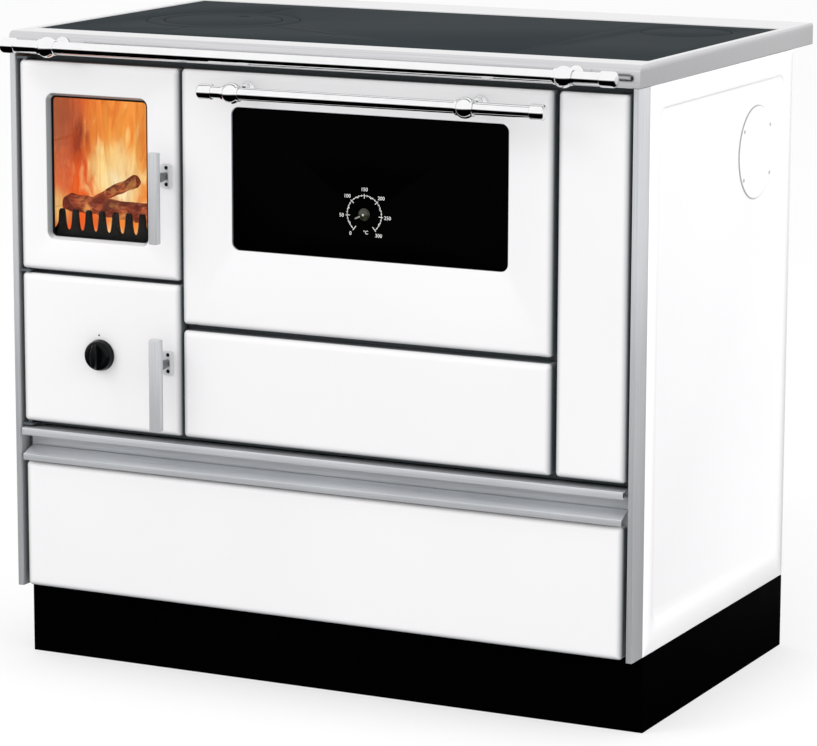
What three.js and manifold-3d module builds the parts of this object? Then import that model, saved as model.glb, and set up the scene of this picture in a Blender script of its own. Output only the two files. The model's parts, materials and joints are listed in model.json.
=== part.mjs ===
// Wood cookstove: enamelled side and front panels in a carcass on a black plinth, a polished top
// frame with a cast hob, a firebox and an ash compartment on the left, an oven in the middle, a
// smoke passage to the right of it and a wood drawer across the bottom.
// Millimetres, +Z up, front towards -Y. Inside the top group Y = 0 is the front plane of the
// panels and of the top frame; the group moves the middle of the whole stove to the origin.
import * as THREE from "three";
import { mergeVertices } from "three/addons/utils/BufferGeometryUtils.js";
import Module from "manifold-3d";

// ---- driving dimensions ----
const WIDTH = 900;
const HEIGHT = 850;
const TOP_DEPTH = 600; // top frame, front to back
const BODY_DEPTH = 525; // side panels and plinth end here, the top frame overhangs them
const TOP_THICK = 28.7; // front face of the top frame
const PLINTH_HEIGHT = 99.2;
const PLINTH_RECESS = 38;
const GAP = 0.3; // between pieces that rest on each other

const HALF = WIDTH / 2;
const TOP_UNDER = HEIGHT - TOP_THICK;
const POST_W = 8.7;
const POST_D = 34;
const PANEL_DEPTH = 18; // thickness of the front doors and panels
const FRAME_Y = 24.3; // front of the steel front frame behind the doors

// doors and panels: x0, x1, z0, z1 on the front plane
const FIRE_DOOR = [-436.5, -195, 534.5, 812.5];
const ASH_DOOR = [-436.5, -195, 328, 529.5];
const OVEN_DOOR = [-191.8, 335, 478.5, 813];
const MIDDLE = [-191.8, 335, 328, 471];
const NARROW = [341.2, 436.7, 328, 813];
const DRAWER = [-435, 435, 101.5, 273];
const FIRE_WINDOW = [-395, -241.5, 577, 771];
const OVEN_WINDOW = [-116.6, 275, 582.5, 768];
const OVEN_CX = (OVEN_DOOR[0] + OVEN_DOOR[1]) / 2;
const EDGE_R = 5; // soft edge of the enamelled panels

// hinge lines
const SIDE_HINGE_X = -430;
const SIDE_HINGE_Y = 6;
const OVEN_HINGE_Y = 10;
const OVEN_HINGE_Z = 488;
const PIN_R = 3;

// handles
const BAR_Y = -46;
const BAR_R = 8;
const SLEEVE_R = 10;
const BALL_R = 13.5;
const RAIL_Y = -40.3;
const RAIL_Z = 835.7;
const RAIL_X = [-435.5, 436.5];
const RAIL_BALL_X = 366.4;
const HANDLE_Z = 791.5;
const HANDLE_X = [-139, 345];
const HANDLE_BALL_X = [-91, 237];
const LEVER_X = -213.5;
const LEVER_Y = -32;
const FIRE_LEVER = { z: 672.5, z0: 587, z1: 706.5 };
const ASH_LEVER = { z: 425.7, z0: 340.7, z1: 462 };
const KNOB = { x: -315.5, z: 427.5, r: 21 };
const DIAL = { x: 73, z: 641 };

// hob
const HOB = [-438, 438, 51.5, 503];
const HOB_TOP = HEIGHT - 1.2;
const HOB_LEDGE = 838.4;
const HOB_SEAM = 242;
const RING = { x: -276.4, y: 268.3, r: 105, lid: 80.5 };
const TOP_FLUE = { x: 343, y: 408.5, r: 60.5 };

// flue
const FLUE = { x: 343, z: 697, r: 60 };
const SIDE_FLUE = { y: 401, z: 697, r: 61 };

const Y_FRONT = BAR_Y - BALL_R;
const Y_MID = (Y_FRONT + TOP_DEPTH) / 2;

// ---- finishes ----
const finish = (color, roughness, metalness) =>
  new THREE.MeshStandardMaterial({ color, roughness, metalness });
const enamel = finish(0xf7f6f5, 0.25, 0.0);
const enamelBlack = finish(0x0b0b0c, 0.35, 0.0);
const aluminium = finish(0xaab0b5, 0.4, 1.0);
const polished = finish(0xd2d5d8, 0.18, 1.0);
const chrome = finish(0xe8eaec, 0.06, 1.0);
const hobPlate = finish(0x42484b, 0.55, 0.3);
const sheetDark = finish(0x2d3437, 0.5, 0.4);
const castIron = finish(0x1d1c1b, 0.75, 0.5);
const steelSheet = finish(0x7f8285, 0.45, 0.9);
const ceramicGlass = finish(0x6b3a1c, 0.08, 0.0);
const blackGlass = finish(0x040404, 0.06, 0.0);
const brick = finish(0xb99a76, 0.9, 0.0);
const rope = finish(0x4a4a48, 0.95, 0.0);
const blackPlastic = finish(0x0c0c0d, 0.2, 0.0);
const needleWhite = finish(0xf2f2f0, 0.4, 0.0);

// ---- solid geometry ----
const wasm = await Module();
wasm.setup();

// A closed geometry as a solid.
function solid(geometry) {
  const g = geometry.clone();
  g.deleteAttribute("normal");
  g.deleteAttribute("uv");
  const m = mergeVertices(g, 1e-4);
  const index = m.index.array;
  const keep = [];
  for (let i = 0; i < index.length; i += 3) {
    const [a, b, c] = [index[i], index[i + 1], index[i + 2]];
    if (a !== b && b !== c && a !== c) keep.push(a, b, c);
  }
  const make = (tri) =>
    new wasm.Manifold(
      new wasm.Mesh({
        numProp: 3,
        vertProperties: new Float32Array(m.attributes.position.array),
        triVerts: new Uint32Array(tri),
      }),
    );
  const s = make(keep);
  if (s.volume() >= 0) return s;
  for (let i = 0; i < keep.length; i += 3)
    [keep[i + 1], keep[i + 2]] = [keep[i + 2], keep[i + 1]];
  return make(keep);
}

// A solid back as a geometry with flat faces.
function geometryOf(s) {
  const mesh = s.getMesh();
  const n = mesh.numProp;
  const v = new Float32Array(mesh.numVert * 3);
  for (let i = 0; i < mesh.numVert; i++)
    v.set(mesh.vertProperties.subarray(i * n, i * n + 3), i * 3);
  const g = new THREE.BufferGeometry();
  g.setAttribute("position", new THREE.BufferAttribute(v, 3));
  g.setIndex(new THREE.BufferAttribute(mesh.triVerts, 1));
  const flat = g.toNonIndexed();
  flat.computeVertexNormals();
  return flat;
}

const union = (first, ...rest) => rest.reduce((a, b) => a.add(b), first);
const cut = (first, ...rest) => rest.reduce((a, b) => a.subtract(b), first);

const box = (x0, x1, y0, y1, z0, z1) =>
  solid(
    new THREE.BoxGeometry(x1 - x0, y1 - y0, z1 - z0).translate(
      (x0 + x1) / 2,
      (y0 + y1) / 2,
      (z0 + z1) / 2,
    ),
  );

const AXIS = {
  x: new THREE.Matrix4().makeRotationZ(-Math.PI / 2),
  y: new THREE.Matrix4(),
  z: new THREE.Matrix4().makeRotationX(Math.PI / 2),
};

// A round bar of radius r from a to b along an axis, through the point (u, v) of the other two.
function rod(axis, u, v, r, a, b, segments = 24) {
  const g = new THREE.CylinderGeometry(r, r, b - a, segments);
  g.translate(0, (a + b) / 2, 0).applyMatrix4(AXIS[axis]);
  if (axis === "x") g.translate(0, u, v);
  if (axis === "y") g.translate(u, 0, v);
  if (axis === "z") g.translate(u, v, 0);
  return solid(g);
}

// A turned piece: profile is a list of [radius, position along the axis].
function turned(axis, u, v, profile, segments = 24) {
  const g = new THREE.LatheGeometry(
    profile.map(([r, t]) => new THREE.Vector2(r, t)),
    segments,
  );
  g.applyMatrix4(AXIS[axis]);
  if (axis === "x") g.translate(0, u, v);
  if (axis === "y") g.translate(u, 0, v);
  if (axis === "z") g.translate(u, v, 0);
  return solid(g);
}

const shapeOf = (points) =>
  new THREE.Shape(points.map(([a, b]) => new THREE.Vector2(a, b)));

const ALONG = {
  // section in YZ, length along X
  x: new THREE.Matrix4().makeBasis(
    new THREE.Vector3(0, 1, 0),
    new THREE.Vector3(0, 0, 1),
    new THREE.Vector3(1, 0, 0),
  ),
  // section in XZ, length along -Y
  y: new THREE.Matrix4().makeBasis(
    new THREE.Vector3(1, 0, 0),
    new THREE.Vector3(0, 0, 1),
    new THREE.Vector3(0, -1, 0),
  ),
  // section in XY, length along Z
  z: new THREE.Matrix4(),
};

// A section drawn in the plane across an axis and carried from a to b along it.
function prism(axis, shape, a, b, curveSegments = 4) {
  const g = new THREE.ExtrudeGeometry(
    shape instanceof THREE.Shape ? shape : shapeOf(shape),
    { depth: b - a, bevelEnabled: false, curveSegments },
  ).applyMatrix4(ALONG[axis]);
  if (axis === "x") g.translate(a, 0, 0);
  if (axis === "y") g.translate(0, b, 0);
  if (axis === "z") g.translate(0, 0, a);
  return solid(g);
}

function roundedRect([x0, x1, z0, z1], r) {
  const s = new THREE.Shape();
  s.moveTo(x0 + r, z0);
  s.lineTo(x1 - r, z0);
  s.absarc(x1 - r, z0 + r, r, -Math.PI / 2, 0);
  s.lineTo(x1, z1 - r);
  s.absarc(x1 - r, z1 - r, r, 0, Math.PI / 2);
  s.lineTo(x0 + r, z1);
  s.absarc(x0 + r, z1 - r, r, Math.PI / 2, Math.PI);
  s.lineTo(x0, z0 + r);
  s.absarc(x0 + r, z0 + r, r, Math.PI, Math.PI * 1.5);
  return s;
}

const grow = ([x0, x1, z0, z1], d) => [x0 - d, x1 + d, z0 - d, z1 + d];

// A slab with a rounded outline and a soft front edge, front face at y0.
function softSlab(rect, y0, y1, cornerR, edgeR) {
  const g = new THREE.ExtrudeGeometry(roundedRect(rect, cornerR), {
    depth: y1 - y0,
    bevelEnabled: true,
    bevelThickness: edgeR,
    bevelSize: edgeR,
    bevelOffset: -edgeR,
    bevelSegments: 2,
    curveSegments: 3,
  }).applyMatrix4(ALONG.y);
  g.translate(0, y1 + edgeR, 0);
  const [x0, x1, z0, z1] = grow(rect, 5);
  return solid(g).intersect(box(x0, x1, y0 - 1, y1, z0, z1));
}

// An enamelled pressed panel: soft slab with a pocket behind a skin.
function pan(rect, skin, depth = PANEL_DEPTH, wall = 2.5) {
  const [x0, x1, z0, z1] = grow(rect, -wall);
  return softSlab(rect, 0, depth, 6, EDGE_R).subtract(
    box(x0, x1, skin, depth + 1, z0, z1),
  );
}

const plate = (rect, y0, y1) => box(rect[0], rect[1], y0, y1, rect[2], rect[3]);

// ---- scene ----
const stove = new THREE.Group();
stove.position.y = -Y_MID;
const group = () => {
  const g = new THREE.Group();
  stove.add(g);
  return g;
};
const body = group();
const fireDoor = group();
const fireLever = group();
const ashDoor = group();
const ashLever = group();
const airControl = group();
const ovenDoor = group();
const thermometer = group();
const drawer = group();
const ring = group();
const lid = group();

function put(where, name, material, s) {
  const mesh = new THREE.Mesh(geometryOf(s), material);
  mesh.name = name;
  where.add(mesh);
}

// ---- plinth ----
put(
  body,
  "plinth",
  enamelBlack,
  cut(
    box(-HALF, HALF, PLINTH_RECESS, BODY_DEPTH, 0, PLINTH_HEIGHT),
    box(-HALF + 3, HALF - 3, PLINTH_RECESS + 3, BODY_DEPTH - 3, 3, PLINTH_HEIGHT - 3),
    box(-HALF + 30, HALF - 30, PLINTH_RECESS + 30, BODY_DEPTH - 30, -1, 4),
  ),
);

// ---- side panels: a rim with a pressed-in field ----
const SIDE_Z = [PLINTH_HEIGHT + GAP, TOP_UNDER - GAP];
const FIELD = [66, 498, 136, 790]; // y0, y1, z0, z1
function sidePanel() {
  const rim = box(447, 450, POST_D + GAP, BODY_DEPTH, SIDE_Z[0], SIDE_Z[1]);
  const field = prism("x", roundedRect(FIELD, 20), 446, 451);
  const floor = prism("x", roundedRect(grow(FIELD, 3), 23), 444, 447.2);
  return rim.subtract(field).add(floor);
}
const mirrorX = (s) => s.mirror([1, 0, 0]);
put(body, "left_side_panel", enamel, mirrorX(sidePanel()));
put(
  body,
  "right_side_panel",
  enamel,
  sidePanel().subtract(rod("x", SIDE_FLUE.y, SIDE_FLUE.z, 55, 440, 452, 32)),
);

// blank cover over the side flue hole, with four screw heads on its rim
{
  const c = turned(
    "x",
    SIDE_FLUE.y,
    SIDE_FLUE.z,
    [
      [0, 441],
      [53, 441],
      [54, 442],
      [54, 447.5],
      [SIDE_FLUE.r, 447.5],
      [SIDE_FLUE.r, 448.6],
      [SIDE_FLUE.r - 0.6, 449.2],
      [0, 449.2],
    ],
    32,
  );
  const heads = [
    [-46, 32],
    [46, 32],
    [46, -32],
    [-46, -32],
  ].map(([dy, dz]) =>
    rod("x", SIDE_FLUE.y + dy, SIDE_FLUE.z + dz, 2.6, 449, 450, 8),
  );
  put(body, "side_flue_cover", enamel, union(c, ...heads));
}

// ---- back panel with the flue hole and two rows of vent slots ----
{
  let s = box(-446.6, 446.6, BODY_DEPTH - 3.5, BODY_DEPTH - 0.5, SIDE_Z[0], SIDE_Z[1]);
  s = s.subtract(rod("y", FLUE.x, FLUE.z, 64, 500, 540, 32));
  for (let i = 0; i < 6; i++)
    for (const z of [160, 770]) {
      const x = -300 + i * 90;
      s = s.subtract(box(x, x + 60, 500, 540, z, z + 6));
    }
  put(body, "back_panel", steelSheet, s);
}

// ---- front corner posts: aluminium sections, open to the back ----
function post() {
  const x0 = HALF - POST_W;
  const outer = prism(
    "z",
    [
      [x0, 1],
      [x0 + 1, 0],
      [HALF - 1.5, 0],
      [HALF - 0.4, 0.4],
      [HALF, 1.5],
      [HALF, POST_D],
      [x0, POST_D],
    ],
    100,
    TOP_UNDER - GAP,
  );
  return cut(
    outer,
    box(x0 + 2, HALF - 2, 2.2, POST_D + 1, 90, 830),
    box(x0 - 1, x0 + 3, FRAME_Y - GAP, POST_D + 1, 90, 830),
  );
}
put(body, "left_post", aluminium, mirrorX(post()));
put(body, "right_post", aluminium, post());

// ---- steel front frame behind the doors, with its hinge lugs ----
const FIRE_MOUTH = [-405, -229, 553, 792];
const ASH_MOUTH = [-405, -229, 345, 512];
const OVEN_MOUTH = [OVEN_CX - 222, OVEN_CX + 222, 512, 782];
const FRAME_BACK = FRAME_Y + 3;
{
  let s = cut(
    box(-443.6, 443.6, FRAME_Y, FRAME_BACK, 320.6, TOP_UNDER - GAP),
    plate(FIRE_MOUTH, 20, 30),
    plate(ASH_MOUTH, 20, 30),
    plate(OVEN_MOUTH, 20, 30),
  );
  for (const z of [322, 530.5, 814.3])
    s = s.add(
      box(-440, -424, 1.5, FRAME_Y + 1, z, z + 3).subtract(
        rod("z", SIDE_HINGE_X, SIDE_HINGE_Y, PIN_R + 0.4, z - 1, z + 4, 12),
      ),
    );
  for (const x of [-176, 314])
    s = s.add(
      box(x, x + 5, OVEN_HINGE_Y - 4.5, FRAME_Y + 1, OVEN_HINGE_Z - 4, OVEN_HINGE_Z + 4).subtract(
        rod("x", OVEN_HINGE_Y, OVEN_HINGE_Z, PIN_R + 0.4, x - 1, x + 6, 12),
      ),
    );
  put(body, "front_frame", sheetDark, s);
}
put(
  body,
  "ash_door_hinge_pin",
  steelSheet,
  rod("z", SIDE_HINGE_X, SIDE_HINGE_Y, PIN_R, 322.4, 531.7, 12),
);
put(
  body,
  "fire_door_hinge_pin",
  steelSheet,
  rod("z", SIDE_HINGE_X, SIDE_HINGE_Y, PIN_R, 532.1, 816.8, 12),
);
put(
  body,
  "oven_door_hinge_rod",
  steelSheet,
  rod("x", OVEN_HINGE_Y, OVEN_HINGE_Z, PIN_R, OVEN_DOOR[0] + 0.8, OVEN_DOOR[1] - 0.8, 12),
);

// ---- top frame: a polished ring with a rounded front, hob rebate and open middle ----
{
  const section = new THREE.Shape();
  section.moveTo(1.5, TOP_UNDER);
  section.lineTo(TOP_DEPTH - 1, TOP_UNDER);
  section.lineTo(TOP_DEPTH, TOP_UNDER + 1);
  section.lineTo(TOP_DEPTH, HEIGHT - 3);
  section.absarc(TOP_DEPTH - 3, HEIGHT - 3, 3, 0, Math.PI / 2);
  section.lineTo(8, HEIGHT);
  section.absarc(8, HEIGHT - 8, 8, Math.PI / 2, Math.PI);
  section.lineTo(0, TOP_UNDER + 1.5);
  const s = cut(
    prism("x", section, -HALF, HALF, 5),
    box(HOB[0] - 0.4, HOB[1] + 0.4, HOB[2] - 0.4, HOB[3] + 0.4, HOB_LEDGE, HEIGHT + 1),
    box(-428, 428, 63, 492, 800, HEIGHT + 1),
    box(-444, 444, 8, 45, 800, TOP_UNDER + 18),
    box(-444, 444, 512, 594, 800, TOP_UNDER + 18),
  );
  put(body, "top_frame", polished, s);
}

// ---- hob: two cast plates, with a ring and lid in the left one and a flue cover in the right ----
const SEAT = 5; // depth of the rebate that a ring or cover rests in
const LOW = HOB_LEDGE + GAP;
{
  let s = cut(
    box(HOB[0], HOB_SEAM - 0.6, HOB[2], HOB[3], LOW, HOB_TOP),
    rod("z", RING.x, RING.y, RING.r, HOB_TOP - SEAT, HOB_TOP + 1, 36),
    rod("z", RING.x, RING.y, RING.r - 7, LOW - 1, HOB_TOP, 36),
  );
  // expansion slots: back, front and towards the right
  const slot = (angle, r0, r1) => {
    const g = new THREE.BoxGeometry(r1 - r0, 2.4, 40)
      .translate((r0 + r1) / 2, 0, HOB_TOP)
      .rotateZ(angle)
      .translate(RING.x, RING.y, 0);
    return solid(g);
  };
  s = cut(
    s,
    slot(Math.PI / 2, RING.r - 12, 197),
    slot(-Math.PI / 2, RING.r - 12, 162),
    slot((-24.4 * Math.PI) / 180, RING.r - 12, 257),
  );
  put(body, "hob_plate_left", hobPlate, s);
  put(
    body,
    "hob_plate_right",
    hobPlate,
    cut(
      box(HOB_SEAM + 0.6, HOB[1], HOB[2], HOB[3], LOW, HOB_TOP),
      rod("z", TOP_FLUE.x, TOP_FLUE.y, TOP_FLUE.r, HOB_TOP - SEAT, HOB_TOP + 1, 32),
      rod("z", TOP_FLUE.x, TOP_FLUE.y, TOP_FLUE.r - 6, LOW - 1, HOB_TOP, 32),
    ),
  );
}
const seatTop = HOB_TOP - SEAT + GAP;
put(
  body,
  "hob_flue_cover",
  hobPlate,
  turned(
    "z",
    TOP_FLUE.x,
    TOP_FLUE.y,
    [
      [0, LOW],
      [TOP_FLUE.r - 6.6, LOW],
      [TOP_FLUE.r - 6.6, seatTop],
      [TOP_FLUE.r - 0.6, seatTop],
      [TOP_FLUE.r - 0.6, HOB_TOP],
      [0, HOB_TOP],
    ],
    32,
  ),
);
put(
  ring,
  "hob_ring",
  hobPlate,
  turned(
    "z",
    RING.x,
    RING.y,
    [
      [RING.lid - 6, LOW],
      [RING.r - 7.6, LOW],
      [RING.r - 7.6, seatTop],
      [RING.r - 0.6, seatTop],
      [RING.r - 0.6, HOB_TOP],
      [RING.lid, HOB_TOP],
      [RING.lid, HOB_TOP - SEAT],
      [RING.lid - 6, HOB_TOP - SEAT],
      [RING.lid - 6, LOW],
    ],
    36,
  ),
);
put(
  lid,
  "hob_lid",
  hobPlate,
  turned(
    "z",
    RING.x,
    RING.y,
    [
      [0, LOW],
      [RING.lid - 6.6, LOW],
      [RING.lid - 6.6, seatTop],
      [RING.lid - 0.6, seatTop],
      [RING.lid - 0.6, HOB_TOP],
      [0, HOB_TOP],
    ],
    36,
  ).subtract(box(RING.x - 8, RING.x + 8, RING.y + 54, RING.y + 62, HOB_TOP - 6, HOB_TOP + 1)),
);

// ---- rail along the front of the top frame ----
// a bar along X with a thicker sleeve and a rounded cap on each end
function handleBar(x0, x1, y, z, leftSleeve, rightSleeve) {
  const S = SLEEVE_R;
  return turned(
    "x",
    y,
    z,
    [
      [0, x0],
      [S - 4, x0],
      [S - 1.2, x0 + 1.5],
      [S, x0 + 4.5],
      [S, x0 + leftSleeve - 1],
      [BAR_R, x0 + leftSleeve],
      [BAR_R, x1 - rightSleeve],
      [S, x1 - rightSleeve + 1],
      [S, x1 - 4.5],
      [S - 1.2, x1 - 1.5],
      [S - 4, x1],
      [0, x1],
    ],
    20,
  );
}
// a ball on a stem with a rosette at its foot, bored for the bar
function ballBracket(x, y, z) {
  const ball = solid(
    new THREE.SphereGeometry(BALL_R, 16, 10).translate(x, y, z),
  );
  const stem = turned(
    "y",
    x,
    z,
    [
      [0, y],
      [6.5, y],
      [6.5, -6],
      [7.5, -5],
      [9.6, -4.2],
      [10.5, -2.8],
      [10.5, -GAP],
      [0, -GAP],
    ],
    16,
  );
  return cut(union(ball, stem), rod("x", y, z, BAR_R + GAP, x - 20, x + 20, 20));
}
put(body, "front_rail", chrome, handleBar(RAIL_X[0], RAIL_X[1], RAIL_Y, RAIL_Z, 21, 21));
put(body, "rail_bracket_left", chrome, ballBracket(-RAIL_BALL_X, RAIL_Y, RAIL_Z));
put(body, "rail_bracket_right", chrome, ballBracket(RAIL_BALL_X, RAIL_Y, RAIL_Z));

// ---- fixed front panels and the trim strip over the drawer grip ----
put(body, "middle_panel", enamel, pan(MIDDLE, 3, FRAME_Y - GAP));
put(body, "narrow_panel", enamel, pan(NARROW, 3, FRAME_Y - GAP));
put(
  body,
  "trim_channel",
  aluminium,
  cut(
    prism(
      "x",
      [
        [-5.5, 310],
        [-5, 309.5],
        [20.5, 309.5],
        [20.5, 280],
        [23, 280],
        [23, 319.5],
        [-5, 319.5],
        [-5.5, 319],
      ],
      -436.5,
      436.5,
    ),
    box(-440, 440, -3.5, 18.5, 311.5, 317.5),
  ),
);

// ---- firebox and ash compartment: one welded shell with a floor between them ----
const FB = { x0: -428, x1: -206, y0: FRAME_BACK + GAP, y1: 500, z0: 330, z1: 821, shelf: 520 };
put(
  body,
  "firebox_shell",
  steelSheet,
  cut(
    box(FB.x0, FB.x1, FB.y0, FB.y1, FB.z0, FB.z1),
    box(FB.x0 + 3, FB.x1 - 3, FB.y0 - 1, FB.y1 - 3, FB.shelf + 4, FB.z1 + 1),
    box(FB.x0 + 3, FB.x1 - 3, FB.y0 - 1, FB.y1 - 3, FB.z0 + 3, FB.shelf),
    box(-384, -250, 100, 380, FB.shelf - 1, FB.shelf + 5),
    box(FB.x1 - 4, FB.x1 + 1, 60, 460, 793, 816),
  ),
);
const FLOOR = FB.shelf + 4 + GAP;
const BRICK_TOP = 788;
put(body, "firebrick_left", brick, box(-424.6, -402, 36, 496.6, FLOOR, BRICK_TOP));
put(body, "firebrick_right", brick, box(-232, -209.4, 36, 496.6, FLOOR, BRICK_TOP));
put(body, "firebrick_back", brick, box(-401.6, -232.4, 470, 496.6, FLOOR, BRICK_TOP));
{
  // grate with long slots over the opening in the floor
  let s = box(-394, -240, 90, 390, FLOOR, FLOOR + 10);
  for (let i = 0; i < 5; i++) {
    const x = -317 + (i - 2) * 26;
    s = s.subtract(box(x - 6, x + 6, 106, 374, FLOOR - 1, FLOOR + 11));
  }
  put(body, "grate", castIron, s);
}
// comb guard behind the fire glass: seven tapered teeth with round-bottomed gaps, on a low bar
function combGuard() {
  const pitch = 20.3;
  const first = -383.5;
  const tip = 616.3;
  const root = 588.5;
  const pts = [
    [-397, 569],
    [-253, 569],
    [-251, 572],
    [-252.5, 588],
  ];
  for (let i = 6; i >= 0; i--) {
    const c = first + i * pitch;
    const right = i === 6 ? [] : [[c + 8.8, root], [c + 7, root + 2.5]];
    const left = i === 0 ? [] : [[c - 7, root + 2.5], [c - 8.8, root]];
    pts.push(
      ...right,
      [c + 5.4, root + 11],
      [c + 4.2, tip - 3],
      [c + 2.6, tip],
      [c - 2.6, tip],
      [c - 4.2, tip - 3],
      [c - 5.4, root + 11],
      ...left,
    );
  }
  pts.push([-391, 594], [-396, 588], [-399, 583], [-399, 572]);
  return prism("y", pts, 17.9, 22.4);
}
put(
  body,
  "ash_pan",
  steelSheet,
  union(
    cut(
      box(-412, -222, 34, 470, FB.z0 + 3 + GAP, 402),
      box(-410, -224, 36, 468, FB.z0 + 5.3, 403),
    ),
    cut(box(-340, -294, 28, 35, 372, 380), box(-334, -300, 31, 34.5, 371, 381)),
  ),
);

// ---- oven box with rack ribs, in a smoke casing that the flue leaves at the back ----
const OVEN = { x0: OVEN_CX - 228, x1: OVEN_CX + 228, z0: 505, z1: 789, y1: 470 };
{
  let s = cut(
    box(OVEN.x0, OVEN.x1, FB.y0, OVEN.y1, OVEN.z0, OVEN.z1),
    box(OVEN.x0 + 3, OVEN.x1 - 3, FB.y0 - 1, OVEN.y1 - 3, OVEN.z0 + 3, OVEN.z1 - 3),
  );
  for (const z of [580, 640, 700])
    s = union(
      s,
      box(OVEN.x0 + 2, OVEN.x0 + 13, 50, 450, z, z + 3),
      box(OVEN.x1 - 13, OVEN.x1 - 2, 50, 450, z, z + 3),
    );
  put(body, "oven_box", enamelBlack, s);
}
{
  const z0 = 643 + GAP;
  const x0 = OVEN.x0 + 4.5;
  const x1 = OVEN.x1 - 4.5;
  let s = box(x0, x1, 55, 445, z0, z0 + 5).subtract(
    box(x0 + 5, x1 - 5, 60, 440, z0 - 1, z0 + 6),
  );
  for (let i = 1; i < 12; i++) {
    const x = x0 + ((x1 - x0) * i) / 12;
    s = s.add(box(x - 1.5, x + 1.5, 58, 442, z0 + 1, z0 + 4));
  }
  s = s.add(box(x0 + 2, x1 - 2, 246, 251, z0, z0 + 2.5));
  put(body, "oven_rack", chrome, s);
}
{
  const x0 = FB.x1 + 0.6;
  const x1 = 428;
  put(
    body,
    "smoke_casing",
    steelSheet,
    cut(
      box(x0, x1, FB.y0, 500, 476, FB.z1),
      box(x0 + 3, x1 - 3, FB.y0 - 1, 497, 479, 837),
      box(x0 - 1, x0 + 4, 60, 460, 793, 816),
      rod("y", FLUE.x, FLUE.z, FLUE.r + 1, 490, 510, 32),
    ),
  );
  put(
    body,
    "flue_collar",
    enamelBlack,
    turned(
      "y",
      FLUE.x,
      FLUE.z,
      [
        [FLUE.r - 2, 488],
        [FLUE.r, 488],
        [FLUE.r, 500.3],
        [FLUE.r + 15, 500.3],
        [FLUE.r + 15, 503.3],
        [FLUE.r, 503.3],
        [FLUE.r, 592],
        [FLUE.r - 2, 592],
        [FLUE.r - 2, 488],
      ],
      28,
    ),
  );
}

// ---- fire door ----
const boreY = (x, z, r, y0 = -1, y1 = 24) => rod("y", x, z, r, y0, y1, 12);
const sidePinBore = (z0, z1) =>
  rod("z", SIDE_HINGE_X, SIDE_HINGE_Y, PIN_R + 0.4, z0, z1, 12);
// window opening with a bevel from the front face down to the glass
function bevelWindow(rect, bevel, depth, r) {
  const [x0, x1, z0, z1] = rect;
  const front = roundedRect(rect, r);
  const g = new THREE.ExtrudeGeometry(front, {
    depth: 0.01,
    bevelEnabled: true,
    bevelThickness: depth,
    bevelSize: bevel,
    bevelOffset: -bevel,
    bevelSegments: 1,
    curveSegments: 4,
  }).applyMatrix4(ALONG.y);
  const cone = solid(g).intersect(box(x0 - 1, x1 + 1, 0, depth + 1, z0 - 1, z1 + 1));
  return union(
    cone,
    prism("y", roundedRect(grow(rect, -bevel), r - 2), 1, 30),
    prism("y", front, -2, 0.02),
  );
}
put(
  fireDoor,
  "fire_door_panel",
  enamel,
  cut(
    pan(FIRE_DOOR, 9.2),
    bevelWindow(FIRE_WINDOW, 5.5, 6.5, 12),
    sidePinBore(500, 900),
    boreY(LEVER_X, FIRE_LEVER.z, 5.6),
  ),
);
put(
  fireDoor,
  "fire_door_glass",
  ceramicGlass,
  prism("y", roundedRect([-400, -236.5, 571, 777], 4), 9.5, 13.3, 2),
);
put(
  fireDoor,
  "fire_door_liner",
  sheetDark,
  cut(
    plate([-424, -204, 545, 802], 13.6, 17.6),
    prism("y", roundedRect([-397.5, -239.5, 573.5, 774.5], 6), 10, 20, 2),
    boreY(LEVER_X, FIRE_LEVER.z, 5.6),
  ),
);
put(
  fireDoor,
  "fire_door_seal",
  rope,
  prism("y", roundedRect([-418, -221, 542, 803], 10), 17.9, 23, 2)
    .subtract(prism("y", roundedRect([-411, -228, 549, 796], 5), 17, 24, 2))
    .subtract(box(-500, -100, 17, 24, 500, 542.5)),
);
put(fireDoor, "fire_guard", castIron, combGuard());
// a latch plate with two screw holes and a flange on its right edge
function latchPlate(z) {
  const x0 = LEVER_X - 8;
  return cut(
    union(
      box(x0, x0 + 16.5, -2, -GAP, z - 16, z + 16),
      box(x0 + 14.5, x0 + 16.5, -8, -GAP, z - 16, z + 16),
    ),
    boreY(LEVER_X, z, 5.6, -10, 2),
    boreY(LEVER_X + 1, z + 10.9, 1.9, -10, 2),
    boreY(LEVER_X + 1, z - 10.9, 1.9, -10, 2),
  );
}
put(fireDoor, "fire_latch_plate", steelSheet, latchPlate(FIRE_LEVER.z));
// lever: a hanging bar on a shaft through the door, with a short cam tongue behind the door
function lever({ z, z0, z1 }, section, length) {
  return union(
    prism("z", section, z0, z1),
    rod("y", LEVER_X, z, 5, LEVER_Y, 21.5, 16),
    rod("y", LEVER_X, z, 6, LEVER_Y, -9.5, 16),
    box(LEVER_X - 3.4, LEVER_X + 3.4, 18.2, 21.5, z - length, z + 3.4),
  );
}
const flatSection = (w, d, c) => [
  [LEVER_X - w / 2 + c, LEVER_Y - d / 2],
  [LEVER_X + w / 2 - c, LEVER_Y - d / 2],
  [LEVER_X + w / 2, LEVER_Y - d / 2 + c],
  [LEVER_X + w / 2, LEVER_Y + d / 2 - c],
  [LEVER_X + w / 2 - c, LEVER_Y + d / 2],
  [LEVER_X - w / 2 + c, LEVER_Y + d / 2],
  [LEVER_X - w / 2, LEVER_Y + d / 2 - c],
  [LEVER_X - w / 2, LEVER_Y - d / 2 + c],
];
put(fireLever, "fire_door_lever", aluminium, lever(FIRE_LEVER, flatSection(13.6, 10, 1.2), 9));

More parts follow.
